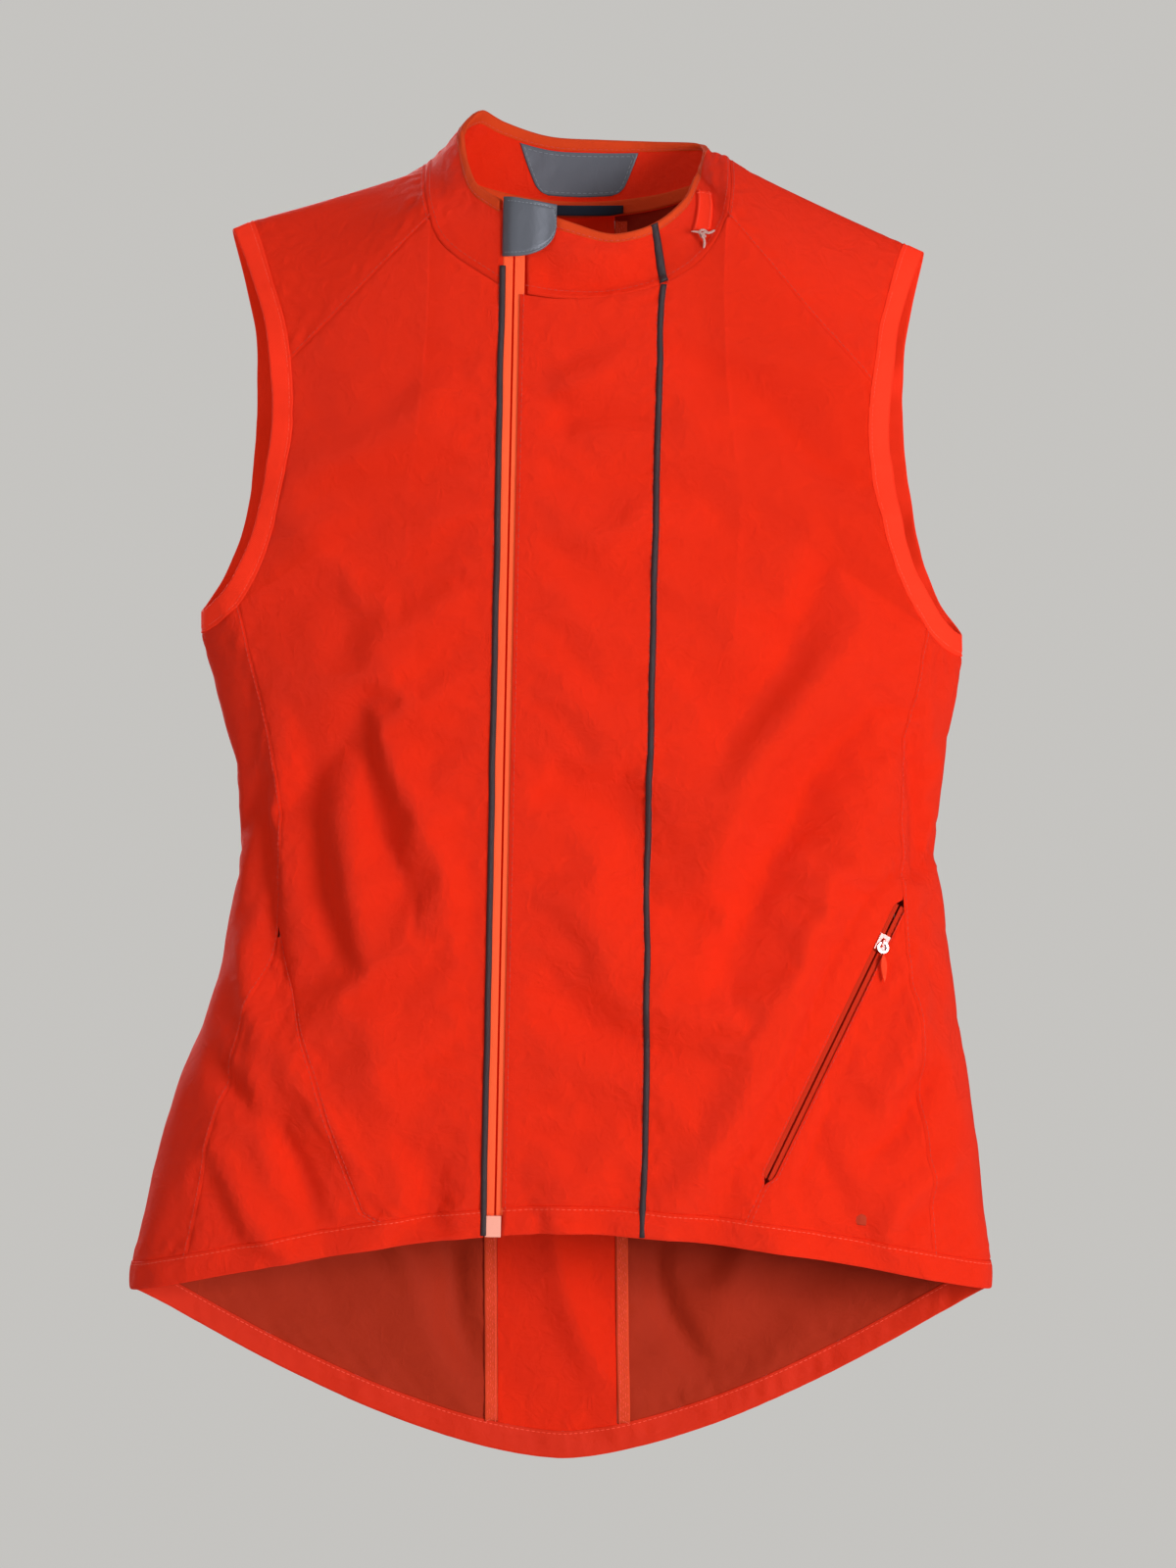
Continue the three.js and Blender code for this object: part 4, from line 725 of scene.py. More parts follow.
surfaces = {}
for side, word in ((-1, "left"), (1, "right")):
    start_index = pockets[side][3]
    mouth = POCKET_MOUTH - 0.7 if side > 0 else 0
    inner_edge, outer_edge = pocket_edge(side, -mouth), pocket_edge(side, mouth)
    outer = np.vstack([inner_edge, sides[side, 0][start_index + 1:],
                       arm_seam(side, SIDE_FRONT, RAGLAN_FRONT)[1:]])
    inner_seam = left_zip_seam if side < 0 else piping_seam
    hem = ended(hem_line(0, hem_u(inner_edge[0]), hem_u(inner_seam[0])), inner_edge[0], inner_seam[0])
    if side < 0:
        top = np.vstack([raglans[-1, 0][::-1], neck_line(RAGLAN_NECK[-1][0], LAST_KNOT)[1:]])
        panel("front_left_panel", hem, top, outer, inner_seam, 10, face=0)
    else:
        top = np.vstack([neck_line(PIPING_KNOT, RAGLAN_NECK[1][0]), raglans[1, 0][1:]])
        panel("front_right_panel", hem[::-1], top, inner_seam, outer, 20, face=0)
    hip_hem = ended(hem_line(0, hem_u(outer_edge[0]), side * SIDE_SEAM_PLACE), outer_edge[0],
                    sides[side, 0][0])
    shares = np.linspace(0, 0.97, 120)
    inner_side, outer_side = along(outer_edge, shares), along(sides[side, 0][:start_index + 1], shares)
    tip = np.array([inner_side[-1], outer_side[-1]])
    hip = (hip_hem, tip, inner_side, outer_side)
    if side < 0:
        hip = (hip_hem[::-1], tip[::-1], outer_side, inner_side)
    panel(f"hip_panel_{word}", *hip, 30 + side, face=0)

    fold = side * 0.9995
    round_hem = np.vstack([hem_line(0, side * SIDE_SEAM_PLACE, fold, 60),
                           hem_line(1, fold, side * SIDE_SEAM_PLACE, 60)])
    underarm = arm_seam(side, SIDE_FRONT, SIDE_BACK)
    panel(
        f"side_panel_{word}", round_hem, underarm, sides[side, 0], sides[side, 1], 40 + side)

    yoke_arm = np.vstack([arm_seam(side, RAGLAN_FRONT, 0), arm_seam(side, 12, RAGLAN_BACK)[1:]])
    panel(
        f"yoke_{word}", raglans[side, 0], raglans[side, 1], neck_line(*RAGLAN_NECK[side]), yoke_arm,
        50 + side)

centre_hem = ended(hem_line(0, hem_u(right_zip_seam[0]), hem_u(piping_seam[0])), right_zip_seam[0],
                   piping_seam[0])
panel(
    "front_centre_panel", centre_hem, neck_line(0, PIPING_KNOT), right_zip_seam, piping_seam, 60,
    face=0)

BACK_SEAM_LEFT, BACK_SEAM_RIGHT = 48, 22


def back_seam(x):
    """One edge of the centre back panel, from the hem up to the neck."""
    knot = knot_at(math.degrees(math.acos(x / (NECK_WIDTH / 2))))
    neck_end = curve_point(neck_knots, knot / LAST_KNOT)[0]
    share = np.linspace(0, 1, 200)[:-1]
    z = back_hem(shell_u(x, -FRONT_LENGTH)) + HEM_BAND
    z = z + (neck_end[2] - z) * share
    line = back(shell_u(x + (neck_end[0] - x) * share, z), z)
    return np.vstack([line, neck_end]), knot


back_seams = {-1: back_seam(-BACK_SEAM_LEFT), 1: back_seam(BACK_SEAM_RIGHT)}
(left_line, left_knot), (right_line, right_knot) = back_seams[-1], back_seams[1]
centre_hem = ended(hem_line(1, hem_u(right_line[0]), hem_u(left_line[0])), right_line[0], left_line[0])
panel(
    "back_centre_panel", centre_hem, neck_line(right_knot, left_knot), right_line, left_line, 70,
    inner_material=shell_cloth, face=1)
for side, word in ((-1, "left"), (1, "right")):
    line, knot = back_seams[side]
    outer = np.vstack([sides[side, 1], arm_seam(side, SIDE_BACK, RAGLAN_BACK)[1:]])
    hem = ended(hem_line(1, hem_u(line[0]), side * SIDE_SEAM_PLACE), line[0], sides[side, 1][0])
    top = np.vstack([neck_line(knot, RAGLAN_NECK[side][1]), raglans[side, 1][1:]])
    panel(f"back_{word}_panel", hem, top, line, outer, 80 + side, face=1)


# ---- Hems ----
# The lower edges are turned up double and topstitched, which gathers the light cloth a little.
# The front hem is in two lengths, either side of the zip, and the back hem is one length.

def finished(piece, body, slot, *nodes):
    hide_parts(*nodes)
    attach(piece, body)
    return piece


HEM_GATHER, HEM_PITCH, HEM_STITCH = 0.55, 11, 14.2
hem_surfaces = {}


def hem_band(name, is_back, from_u, to_u, seed):
    height_at = back_hem if is_back else front_hem
    length = abs(to_u - from_u) * HEM_WIDTH / 2
    u = np.sin(np.linspace(math.asin(from_u), math.asin(to_u), int(length / 2) + 2))
    rise = np.array([0, 0.3, 0.8, 1.6, 3, 5, 7, 9, 11, 12.6, 13.6, 14.2, 14.8, 15.4, 16])
    grid = face_point(u[None, :], height_at(u)[None, :] + rise[:, None], is_back)
    gather = ripple(grid * (1, 1, 0.25), HEM_PITCH, seed)
    gather = gather * np.sin(math.pi * np.clip(rise / HEM_BAND, 0, 1))[:, None]
    grid = draped(grid)
    grid = grid + grid_normals(grid)[0] * (HEM_GATHER * gather)[..., None]
    turned = np.sqrt(np.clip(rise / 1.2, 0, 1))[:, None]
    seam = np.exp(-((HEM_BAND - rise) / SEAM_HALF) ** 2)
    dip = SEAM_DIP * (seam + 0.8 * np.exp(-((rise - HEM_STITCH) / 0.7) ** 2))[:, None]
    # The hem's inner face takes the darker facing cloth, which carries painted shade.
    piece = slab(name, grid, 0.55 - 0.65 * turned, 0.55 + 0.65 * turned - dip, shell_cloth, facing)
    hem_surfaces[name] = [grid[11] + grid_normals(grid)[0][11] * lift for lift in (0.85, -0.1)]
    return finished(piece, "root", "shell", name)


# A darker copy of the shell cloth with less glow: painted shade for the hems' inner faces, as the inside of
# the back hem hangs in the front's shade.
facing = fabric("shaded_hem_facing", (0.74, 0.024, 0.001), (0.60, 0.015, 0.0005), sheen=0.05, painted_glow=0.06)
zip_left_u = shell_u(zip_x(zip_hem_z) - ZIP_PIPING_OFFSET, zip_hem_z)
zip_right_u = shell_u(zip_x(zip_hem_z) + ZIP_RIGHT_EDGE, zip_hem_z)
hem_band("front_hem_left", 0, -1, zip_left_u, 101)
hem_band("front_hem_right", 0, zip_right_u, 1, 102)
hem_band("back_hem", 1, -1, 1, 103)


# ---- Armhole bindings ----
# A soft elastic binding, folded over the raw edge of each armhole and sewn through, brighter
# than the shell in colour and by a stronger painted glow, and slightly rippled where the elastic draws it in.

BINDING_HALF, BINDING_OVER = 1.0, 0.6
BINDING_STEPS = 420
# The binding's glow is painted light: emission that makes it brighter than the lamps alone would.
binding_cloth = fabric("binding_elastic", (1.0, 0.036, 0.008), (0.9, 0.024, 0.004), roughness=0.7, sheen=0.12,
                       painted_glow=0.22, pitch=0.0009, thread=0.9, crease=0.02, bump=0.00012)
binding_stitches = {}
for side, word in ((-1, "left"), (1, "right")):
    share = np.arange(BINDING_STEPS) / BINDING_STEPS
    edge_line = draped(curve_point(armholes[side][0], share, closed=True))
    seam_line = draped(curve_point(armholes[side][1], share, closed=True))
    across = seam_line - edge_line
    width = np.linalg.norm(across, axis=1, keepdims=True)
    across = across / width
    tangent = np.roll(edge_line, -1, axis=0) - np.roll(edge_line, 1, axis=0)
    normal = np.cross(tangent, across)
    normal /= np.linalg.norm(normal, axis=1, keepdims=True)
    if np.sum(normal[:, 1] * edge_line[:, 1]) < 0:
        normal = -normal
    drawn = ripple(edge_line, 8, 200 + side)[:, None] * 0.28
    section = [(1 - math.cos(a), math.sin(a)) for a in np.linspace(-math.pi / 2, math.pi / 2, 9)]
    flat = [(b, 1) for b in (3, 5, 7, 8.6, 9.8, 10.6, 11.4)]
    section = [(b, -1) for b, _ in flat[::-1]] + section + flat
    rows = []
    for along_width, lift in section:
        reach_in = along_width * (width[:, 0].mean() + BINDING_OVER) / 11.4
        sewn = math.exp(-((along_width - 9.8) / 0.6) ** 2) * 0.35
        wave = drawn * smooth((along_width - 2) / 7) * np.sign(lift or 1)
        rows.append(edge_line + across * reach_in + normal * (lift * (BINDING_HALF - sewn) + wave))
    grid = np.array(rows)
    count, columns = grid.shape[:2]
    index = np.arange(count * columns).reshape(count, columns)
    following = np.roll(index, -1, axis=1)
    lower, upper = index, np.roll(index, -1, axis=0)
    faces = np.stack([lower, following, np.roll(following, -1, axis=0), upper], -1).reshape(-1, 4)
    mesh = bpy.data.meshes.new(f"armhole_binding_{word}")
    mesh.from_pydata((grid.reshape(-1, 3) * 0.001).tolist(), [], faces.tolist())
    solid = bmesh.new()
    solid.from_mesh(mesh)
    if solid.calc_volume(signed=True) < 0:
        bmesh.ops.reverse_faces(solid, faces=solid.faces)
    solid.to_mesh(mesh)
    solid.free()
    mesh.materials.append(binding_cloth)
    mesh.polygons.foreach_set("use_smooth", [True] * len(faces))
    lengths = np.append(lengths_along(edge_line), 0)[:columns]
    plane = np.stack(np.broadcast_arrays(lengths[None, :], np.arange(count)[:, None] * 1.2), -1)
    plane = plane.reshape(-1, 2) * 0.001
    loops = np.zeros(len(mesh.loops), np.int32)
    mesh.loops.foreach_get("vertex_index", loops)
    mesh.uv_layers.new(name="cloth").data.foreach_set("uv", plane[loops].astype(np.float32).ravel())
    binding = bpy.data.objects.new(f"armhole_binding_{word}", mesh)
    scene.collection.objects.link(binding)
    finished(binding, "root", "binding", f"armhole_binding_{word}")
    sewn_at = edge_line + across * (9.8 / 11.4 * width)
    stitch_lift = normal * (0.8 * BINDING_HALF)
    rows = (sewn_at + stitch_lift, sewn_at - stitch_lift)
    binding_stitches[word] = [np.vstack([row, row[:1]]) for row in rows]


# ---- Collar ----
# A soft stand-up collar of the shell's cloth in two layers, seamed under the right piping, with a
# knitted tape folded over its upper edge. It leans and buckles where nothing holds it up.

EDGE_TAPE_SHARE = 0.84
LINING_OUTER, LINING_INNER = -1.7, -2.3
COLLAR_BULGES = [   # knot, share of the height, reach in knots and in height, and how far out
    (1.6, 0.62, 1.1, 0.22, 4.0), (1.5, 0.16, 1.6, 0.17, -4.4), (0.9, 0.34, 0.5, 0.2, -1.2),
    (2.6, 0.35, 0.5, 0.3, -1.8), (6.6, 0.5, 0.9, 0.4, 1.6), (16.6, 0.45, 0.6, 0.5, -1.8),
    (17.6, 0.6, 0.5, 0.4, 1.6), (14.4, 0.5, 0.8, 0.4, 1.4)]


def collar_sheet(from_knot, to_knot, low, high, columns, rows):
    knots = np.linspace(from_knot, to_knot, columns + 1)
    rises = np.linspace(low, high, rows + 1)
    base, top = (curve_point(line, knots / LAST_KNOT) for line in (neck_knots, collar_knots))
    grid = base[None] + (top - base)[None] * rises[:, None, None]
    knot, rise = np.broadcast_arrays(knots[None, :], rises[:, None])
    out = sum(height * np.exp(-((knot - k) / kr) ** 2 - ((rise - r) / rr) ** 2)
              for k, r, kr, rr, height in COLLAR_BULGES)
    places = np.stack([knot * 21, rise * 42, 0 * rise], -1)
    out = out + 0.7 * ripple(places * (1, 0.6, 1), 26, 5) + 0.35 * ripple(places, 11, 6)
    free = smooth(knot / 0.7) * smooth((LAST_KNOT - knot) / 1.2) * smooth(rise / 0.12)
    near_tab = smooth((np.abs(knot - 4.7) - 0.75) / 0.5)
    near_patch = smooth((np.abs(knot - 11.5) - 1.6) / 0.8)
    out = out * free * near_tab * (0.3 + 0.7 * near_patch)
    return grid + grid_normals(grid)[0] * out[..., None]


def neck_dip(grid, low=True, high=False, side=False):
    nearest = np.full(grid.shape[:2], 99.0)
    left, right, bottom, top = edge_distances(grid)
    for wanted, distance in ((low, bottom), (high, top), (side, left), (side, right)):
        if wanted:
            nearest = np.minimum(nearest, distance)
    return SEAM_DIP * np.exp(-(nearest / SEAM_HALF) ** 2)


for name, ends, columns in (("collar_main", (PIPING_KNOT, LAST_KNOT), 190),
                            ("collar_centre", (0, PIPING_KNOT), 40)):
    grid = puckered(collar_sheet(*ends, 0, EDGE_TAPE_SHARE + 0.03, columns, 18), 0.25, 300)
    collar_piece = slab(name, grid, -0.1, CLOTH_OUTER - neck_dip(grid, side=True), shell_cloth)
    finished(collar_piece, "root", "shell", name)
    surfaces[name] = grid + grid_normals(grid)[0] * (CLOTH_OUTER + 0.05)
grid = collar_sheet(0, LAST_KNOT, 0.0, EDGE_TAPE_SHARE + 0.03, 220, 16)
collar_lining = slab("collar_lining", grid, LINING_INNER, LINING_OUTER, shell_cloth)
finished(collar_lining, "root", "shell", "collar_lining")

# The tape's glow is painted light: a faint emission in its own colour.
knit_tape = fabric("knitted_edge_tape", (0.84, 0.070, 0.008), (0.66, 0.042, 0.005), roughness=0.75,
                   sheen=0.15, painted_glow=0.04, pitch=0.0008, thread=0.9, bump=0.00012)
grid = collar_sheet(0.12, LAST_KNOT - 0.12, EDGE_TAPE_SHARE, 1, 230, 12)
to_top = edge_distances(grid)[3]
rounded = np.sqrt(np.clip(to_top / 1.6, 0, 1))
sewn = 0.3 * np.exp(-((edge_distances(grid)[2] - 1.0) / 0.6) ** 2)
edge_tape = slab("collar_edge_tape", grid, -0.85 - 1.75 * rounded + sewn, -0.85 + 1.85 * rounded - sewn,
                 knit_tape)
finished(edge_tape, "root", "edge_tape", "collar_edge_tape")
tape_normals = grid_normals(grid)[0]
tape_stitches = [grid[2] + tape_normals[2] * 0.95, grid[2] - tape_normals[2] * 2.5]


# ---- Trim inside the collar ----
# A grey retroreflective patch and a seam tape are sewn on the collar's lining at the back, and a
# navy ribbon is sewn down at both ends over the tape as the hanging loop.

reflective_cloth = fabric("reflective_cloth", (0.150, 0.160, 0.190), (0.118, 0.125, 0.150), roughness=0.45,
                          sheen=0.05, pitch=0.0003, crease=0.02, thread=0.15, bump=0.00006)
reflective_cloth.node_tree.nodes["Principled BSDF"].inputs["Metallic"].default_value = 0.35
trim_outer = LINING_INNER - 0.05
knots = np.linspace(knot_at(89 - 26), knot_at(89 + 26), 49)
full = collar_sheet(knot_at(89 - 26), knot_at(89 + 26), 0.26, 0.82, 60, 24)
rows, columns = full.shape[:2]
patch_rows = []
for row in range(rows):
    v = row / (rows - 1)
    half = (17.5 + 8.5 * v) / 26
    if v < 0.22:
        half *= 0.78 + 0.22 * math.sqrt(1 - (1 - v / 0.22) ** 2)
    place = (0.5 + (np.linspace(0, 1, columns) - 0.5) * half) * (columns - 1)
    patch_rows.append(np.stack([np.interp(place, np.arange(columns), full[row, :, k]) for k in range(3)], -1))
grid = np.array(patch_rows)
patch = slab("reflective_neck_patch", grid, trim_outer - 0.5, trim_outer, reflective_cloth)
finished(patch, "root", "reflective", "reflective_neck_patch")
patch_normals = grid_normals(grid)[0]
patch_edge = np.vstack([grid[2:-2, 2], grid[-3, 3:-2], grid[-3:1:-1, -3], grid[2, -3:1:-1]])
patch_edge_normals = np.vstack([patch_normals[2:-2, 2], patch_normals[-3, 3:-2], patch_normals[-3:1:-1, -3],
                                patch_normals[2, -3:1:-1]])
patch_stitches = patch_edge + patch_edge_normals * (trim_outer - 0.55)

grid = collar_sheet(knot_at(38), knot_at(142), 0.0, 0.2, 90, 6)
neck_tape = slab("neck_seam_tape", grid, trim_outer - 0.6, trim_outer, knit_tape)
finished(neck_tape, "root", "edge_tape", "neck_seam_tape")

LOOP_HALF, LOOP_RIBBON, LOOP_THICKNESS, LOOP_BOW, LOOP_SAG = 27.5, 6, 1.0, 10, 2
ribbon = fabric("navy_ribbon", (0.022, 0.032, 0.058), (0.012, 0.018, 0.034), roughness=0.65, sheen=0.4,
                pitch=0.0007, thread=1.2, crease=0.03, bump=0.00015)
loop_ends = []
for way in (1, -1):
    knot = knot_at(math.degrees(math.acos(way * LOOP_HALF / (NECK_WIDTH / 2)))) / LAST_KNOT
    low, high = curve_point(neck_knots, knot)[0], curve_point(collar_knots, knot)[0]
    loop_ends.append(low + (high - low) * 0.12 + (0, -3.65 - 0.3 - 0.4, 0))
share = np.linspace(0, 1, 70)[None, :, None]
bow = np.sin(math.pi * share) ** 0.7
grid = loop_ends[0] * (1 - share) + loop_ends[1] * share
grid = grid + np.array([0, -1, 0]) * (LOOP_BOW * bow + LOOP_THICKNESS / 2 + 0.1)
hang = np.linspace(0, 1, 7)[::-1][:, None, None]
twist = smooth(1 - share / 0.16) * 0.6
grid = grid - np.array([0, 0, 1]) * (LOOP_SAG * bow + hang * LOOP_RIBBON * (1 - 0.3 * twist))
grid = grid + np.array([0, -1, 0]) * (hang - 0.5) * 1.6 * twist
hanging_loop = slab("hanging_loop", grid, 0, LOOP_THICKNESS, ribbon)
finished(hanging_loop, "loop", "loop_ribbon", "hanging_loop")


# ---- Tab and knotted elastic ----
# A short bright tab on the right of the collar, sewn at its top, whose lower end holds a pale
# elastic cord with its ends knotted.

TAB_LIFT = 1.4
tab_low = [(knot_at(-38), 0.45), (knot_at(-27), 0.18)]
tab_top = [(knot_at(-23), 0.8), (knot_at(-14.5), 0.5)]
v, t = np.linspace(0, 0.955, 28)[:, None], np.linspace(0, 1, 10)[None, :]
knot, rise = ((tab_low[0][k] * (1 - t) + tab_low[1][k] * t) * (1 - v)
              + (tab_top[0][k] * (1 - t) + tab_top[1][k] * t) * v for k in (0, 1))
base = curve_point(neck_knots, knot.ravel() / LAST_KNOT).reshape(28, 10, 3)
high = curve_point(collar_knots, knot.ravel() / LAST_KNOT).reshape(28, 10, 3)
grid = base + (high - base) * rise[..., None]
tab = slab("collar_tab", grid, TAB_LIFT, TAB_LIFT + 0.75, binding_cloth)
finished(tab, "tab", "binding", "collar_tab")
tab_normals = grid_normals(grid)[0]
tab_stitches = [grid[:, 1] + tab_normals[:, 1] * 2.22, grid[:, -2] + tab_normals[:, -2] * 2.22,
                grid[-3] + tab_normals[-3] * 2.22]

elastic = fabric("pale_elastic", (0.88, 0.55, 0.50), (0.66, 0.32, 0.28), roughness=0.7, pitch=0.0005,
                 thread=0.8)
knot_place = grid[0, 5] + (0, -5.2, -1.6)


def cord_tube(name, points, radius, material, sides=10):
    """A round cord along a smooth line through the points."""
    line = curve_point(points, np.linspace(0, 1, 14 * (len(points) - 1)))
    tangent = np.gradient(line, axis=0)
    tangent /= np.linalg.norm(tangent, axis=1, keepdims=True)
    side_way = np.cross(tangent, (0.21, 0.53, 0.82))
    side_way /= np.linalg.norm(side_way, axis=1, keepdims=True)
    other = np.cross(tangent, side_way)
    turn = np.arange(sides) * 2 * math.pi / sides
    taper = np.sqrt(np.clip(1 - np.linspace(-1, 1, len(line)) ** 10, 0.06, 1))
    rings = line[:, None] + radius * taper[:, None, None] * (
        side_way[:, None] * np.cos(turn)[None, :, None] + other[:, None] * np.sin(turn)[None, :, None])
    index = np.arange(len(line) * sides).reshape(len(line), sides)
    following = np.roll(index, -1, axis=1)
    faces = np.stack([index[:-1], following[:-1], following[1:], index[1:]], -1).reshape(-1, 4).tolist()
    faces += [index[0, ::-1].tolist(), index[-1].tolist()]
    mesh = bpy.data.meshes.new(name)
    mesh.from_pydata((rings.reshape(-1, 3) * 0.001).tolist(), [], faces)
    mesh.materials.append(material)
    mesh.polygons.foreach_set("use_smooth", [True] * len(faces))
    mesh.uv_layers.new(name="cloth")
    piece = bpy.data.objects.new(name, mesh)
    scene.collection.objects.link(piece)
    return piece


turns = [(2.0 * math.cos(a) * (1 + 0.25 * math.sin(3 * a)), -0.9 + 1.1 * math.sin(2 * a), 2.0 * math.sin(a))
         for a in np.linspace(0.3, 5.2, 9)]
strands = {
    "elastic_knot": [(0.9, 3.6, 1.5), (0.4, 1.2, 0.8), *turns, (-2.6, -1.4, 0.6), (-7.0, -1.6, 1.1)],
    "elastic_end_right": [(-1.2, -0.8, -1.2), (0.8, -1.6, 0.6), (3.2, -1.5, 0.2), (6.6, -1.5, 1.7)],
    "elastic_end_lower": [(0.9, -1.2, 1.0), (-0.6, -1.9, -1.0), (0.6, -1.9, -4.5), (0.3, -2.1, -8.6)]}
for name, points in strands.items():
    strand = cord_tube(name, np.array(points) + knot_place, 0.75, elastic)
    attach(strand, "tab")
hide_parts("elastic_knot")


# ---- Piping ----
# Folded strips of dark reflective cloth round a thin cord, caught in the seams: down the left of
# the zip, down the front's right seam, and up the collar above it.

PIPING_WIDTH, PIPING_HEIGHT = 3.6, 1.7
piping_cloth = fabric("dark_reflective_piping", (0.060, 0.042, 0.048), (0.038, 0.026, 0.030), roughness=0.38,
                      sheen=0.1, pitch=0.0006, thread=0.5, crease=0.01, bump=0.0001)
piping_cloth.node_tree.nodes["Principled BSDF"].inputs["Metallic"].default_value = 0.3


def piping(name, grid, seed):
    """grid has one row per place along the piping and its columns across it."""
    columns = grid.shape[1]
    dome = np.sqrt(np.clip(1 - np.linspace(-1, 1, columns) ** 2, 0, 1))[None, :]
    uneven = 1 + 0.10 * ripple(grid[:, columns // 2], 9, seed)[:, None]
    crown = CLOTH_INNER + 0.25 + PIPING_HEIGHT * dome * uneven
    piece = slab(name, grid, CLOTH_INNER + 0.1, crown, piping_cloth)
    return finished(piece, "root", "piping", name)


offsets = np.linspace(-0.5, 0.5, 9) * PIPING_WIDTH
left_top = zip_top[2] - 36
left_bottom = front_hem(shell_u(zip_x(-FRONT_LENGTH) - ZIP_PIPING_OFFSET, -FRONT_LENGTH)) + 1
sway = 0.25 * ripple(beside_zip(0, left_bottom, left_top, 280), 45, 7)
left_grid = np.stack([beside_zip(-ZIP_PIPING_OFFSET + offset, left_bottom, left_top, 280)
                      for offset in offsets], 1)
left_grid[..., 0] += sway[:, None]
piping("piping_left", left_grid, 31)
z = np.linspace(front_hem(shell_u(piping_x(-FRONT_LENGTH), -FRONT_LENGTH)) + 1, piping_top[2] - 1, 280)
right_grid = np.stack([draped(front(shell_u(piping_x(z) + offset, z), z)) for offset in offsets], 1)
piping("piping_right", right_grid, 32)
around = PIPING_WIDTH / 2 / 18
collar_grid = collar_sheet(PIPING_KNOT - around, PIPING_KNOT + around, 0.01, 0.98, 8, 40)
piping("piping_collar", collar_grid, 33)


# ---- Main zip ----
# A coil zip, off the middle to the left: two woven tapes whose inner edges meet over the coils, a
# facing behind them, a pale moulded box and pin at the bottom and plain metal stops at the top.

TAPE_SLIT, TAPE_EDGE, TAPE_FRONT, TAPE_BACK = 0.6, 6.2, 0.7, 1.3
TEETH_FRONT, TEETH_BACK, TEETH_WIDTH = 1.6, 2.9, 2.2
COIL_PITCH = 1.5
BOX_HEIGHT, STOP_HEIGHT, PIN_LENGTH = 12, 3, 22
zip_across = np.cross(np.array([0, 1.0, 0]), zip_up)
zip_across /= np.linalg.norm(zip_across)
zip_inward = np.cross(zip_up, zip_across)
zip_length = np.linalg.norm(zip_top - zip_bottom)


def in_zip(across, inward, up):
    """A place beside the main zip's line: to the right, into the body and up, from its top."""
    across, inward, up = np.broadcast_arrays(np.asarray(across, float), inward, up)
    return zip_top + across[..., None] * zip_across + inward[..., None] * zip_inward + up[..., None] * zip_up


def flat_strip(name, place, across, ups, front_depth_mm, back_depth_mm, material):
    """A flat strip on a zip: a slab from its outer face to its inner one."""
    middle = (front_depth_mm + back_depth_mm) / 2
    grid = place(np.asarray(across)[None, :], middle, np.asarray(ups)[:, None])
    half = abs(back_depth_mm - front_depth_mm) / 2
    return slab(name, grid, -half, half, material)


# The zip tapes' glow is painted light: an emission that makes the strip brighter than the lamps alone would.
zip_tape_cloth = fabric("zip_tape_weave", (1.0, 0.13, 0.040), (0.94, 0.09, 0.026), sheen=0.06, painted_glow=0.32,
                        pitch=0.0012, thread=1.4, crease=0.03, bump=0.00016)
box_top = -zip_length + BOX_HEIGHT
teeth_places = {}
for side, word in ((-1, "left"), (1, "right")):
    ups = np.linspace(box_top + 0.3, 0, 240)
    across = side * np.array([TAPE_SLIT, TAPE_SLIT + 0.25, 1.6, 3.2, 4.8, TAPE_EDGE])
    tape = flat_strip(f"zip_tape_{word}", in_zip, across[::side], ups, TAPE_FRONT, TAPE_BACK, zip_tape_cloth)
    finished(tape, "root", "zip_tape", f"zip_tape_{word}")
    bottom = box_top + (PIN_LENGTH if side > 0 else 0) + 0.5
    ups = np.arange(bottom, -STOP_HEIGHT - 0.5, COIL_PITCH) + (COIL_PITCH / 2 if side > 0 else 0)
    teeth_out, teeth_in = side * (TAPE_SLIT + TEETH_WIDTH / 2 + 0.05), (TEETH_FRONT + TEETH_BACK) / 2
    teeth_places[word] = in_zip(teeth_out, teeth_in, ups[:-1])


def plain_finish(name, colour, **sockets):
    """A finish of one colour, with the shader's other values given as words for its sockets."""
    material = bpy.data.materials.new(name)
    material.use_nodes = True
    shader = material.node_tree.nodes["Principled BSDF"]
    shader.inputs["Base Color"].default_value = (*colour, 1)
    for key, value in sockets.items():
        shader.inputs[key.replace("_", " ")].default_value = value
    return material


COIL_ORANGE = (1.0, 0.13, 0.040)
moulded = plain_finish("pale_moulded_plastic", (1.0, 0.42, 0.32), Roughness=0.32, Coat_Weight=0.3)
# The coils' emission is a painted glow in their own orange.
coil_plastic = plain_finish("coil_nylon", COIL_ORANGE, Roughness=0.4, Emission_Color=(*COIL_ORANGE, 1),
                            Emission_Strength=0.3)
plated = plain_finish("plated_steel", (0.62, 0.62, 0.63), Metallic=1, Roughness=0.28)
painted = bpy.data.materials.new("painted_die_casting")
painted.use_nodes = True
shader = painted.node_tree.nodes["Principled BSDF"]
wear = painted.node_tree.nodes.new("ShaderNodeTexNoise")
wear.inputs["Scale"].default_value = 900
wear_place = painted.node_tree.nodes.new("ShaderNodeTexCoord")
painted.node_tree.links.new(wear_place.outputs["Object"], wear.inputs["Vector"])
tone = painted.node_tree.nodes.new("ShaderNodeMix")
tone.data_type = "RGBA"
tone.inputs[6].default_value, tone.inputs[7].default_value = (0.62, 0.022, 0.004, 1), (0.88, 0.050, 0.010, 1)
painted.node_tree.links.new(wear.outputs["Fac"], tone.inputs[0])
painted.node_tree.links.new(tone.outputs[2], shader.inputs["Base Color"])
shader.inputs["Roughness"].default_value = 0.35
shader.inputs["Coat Weight"].default_value = 0.4


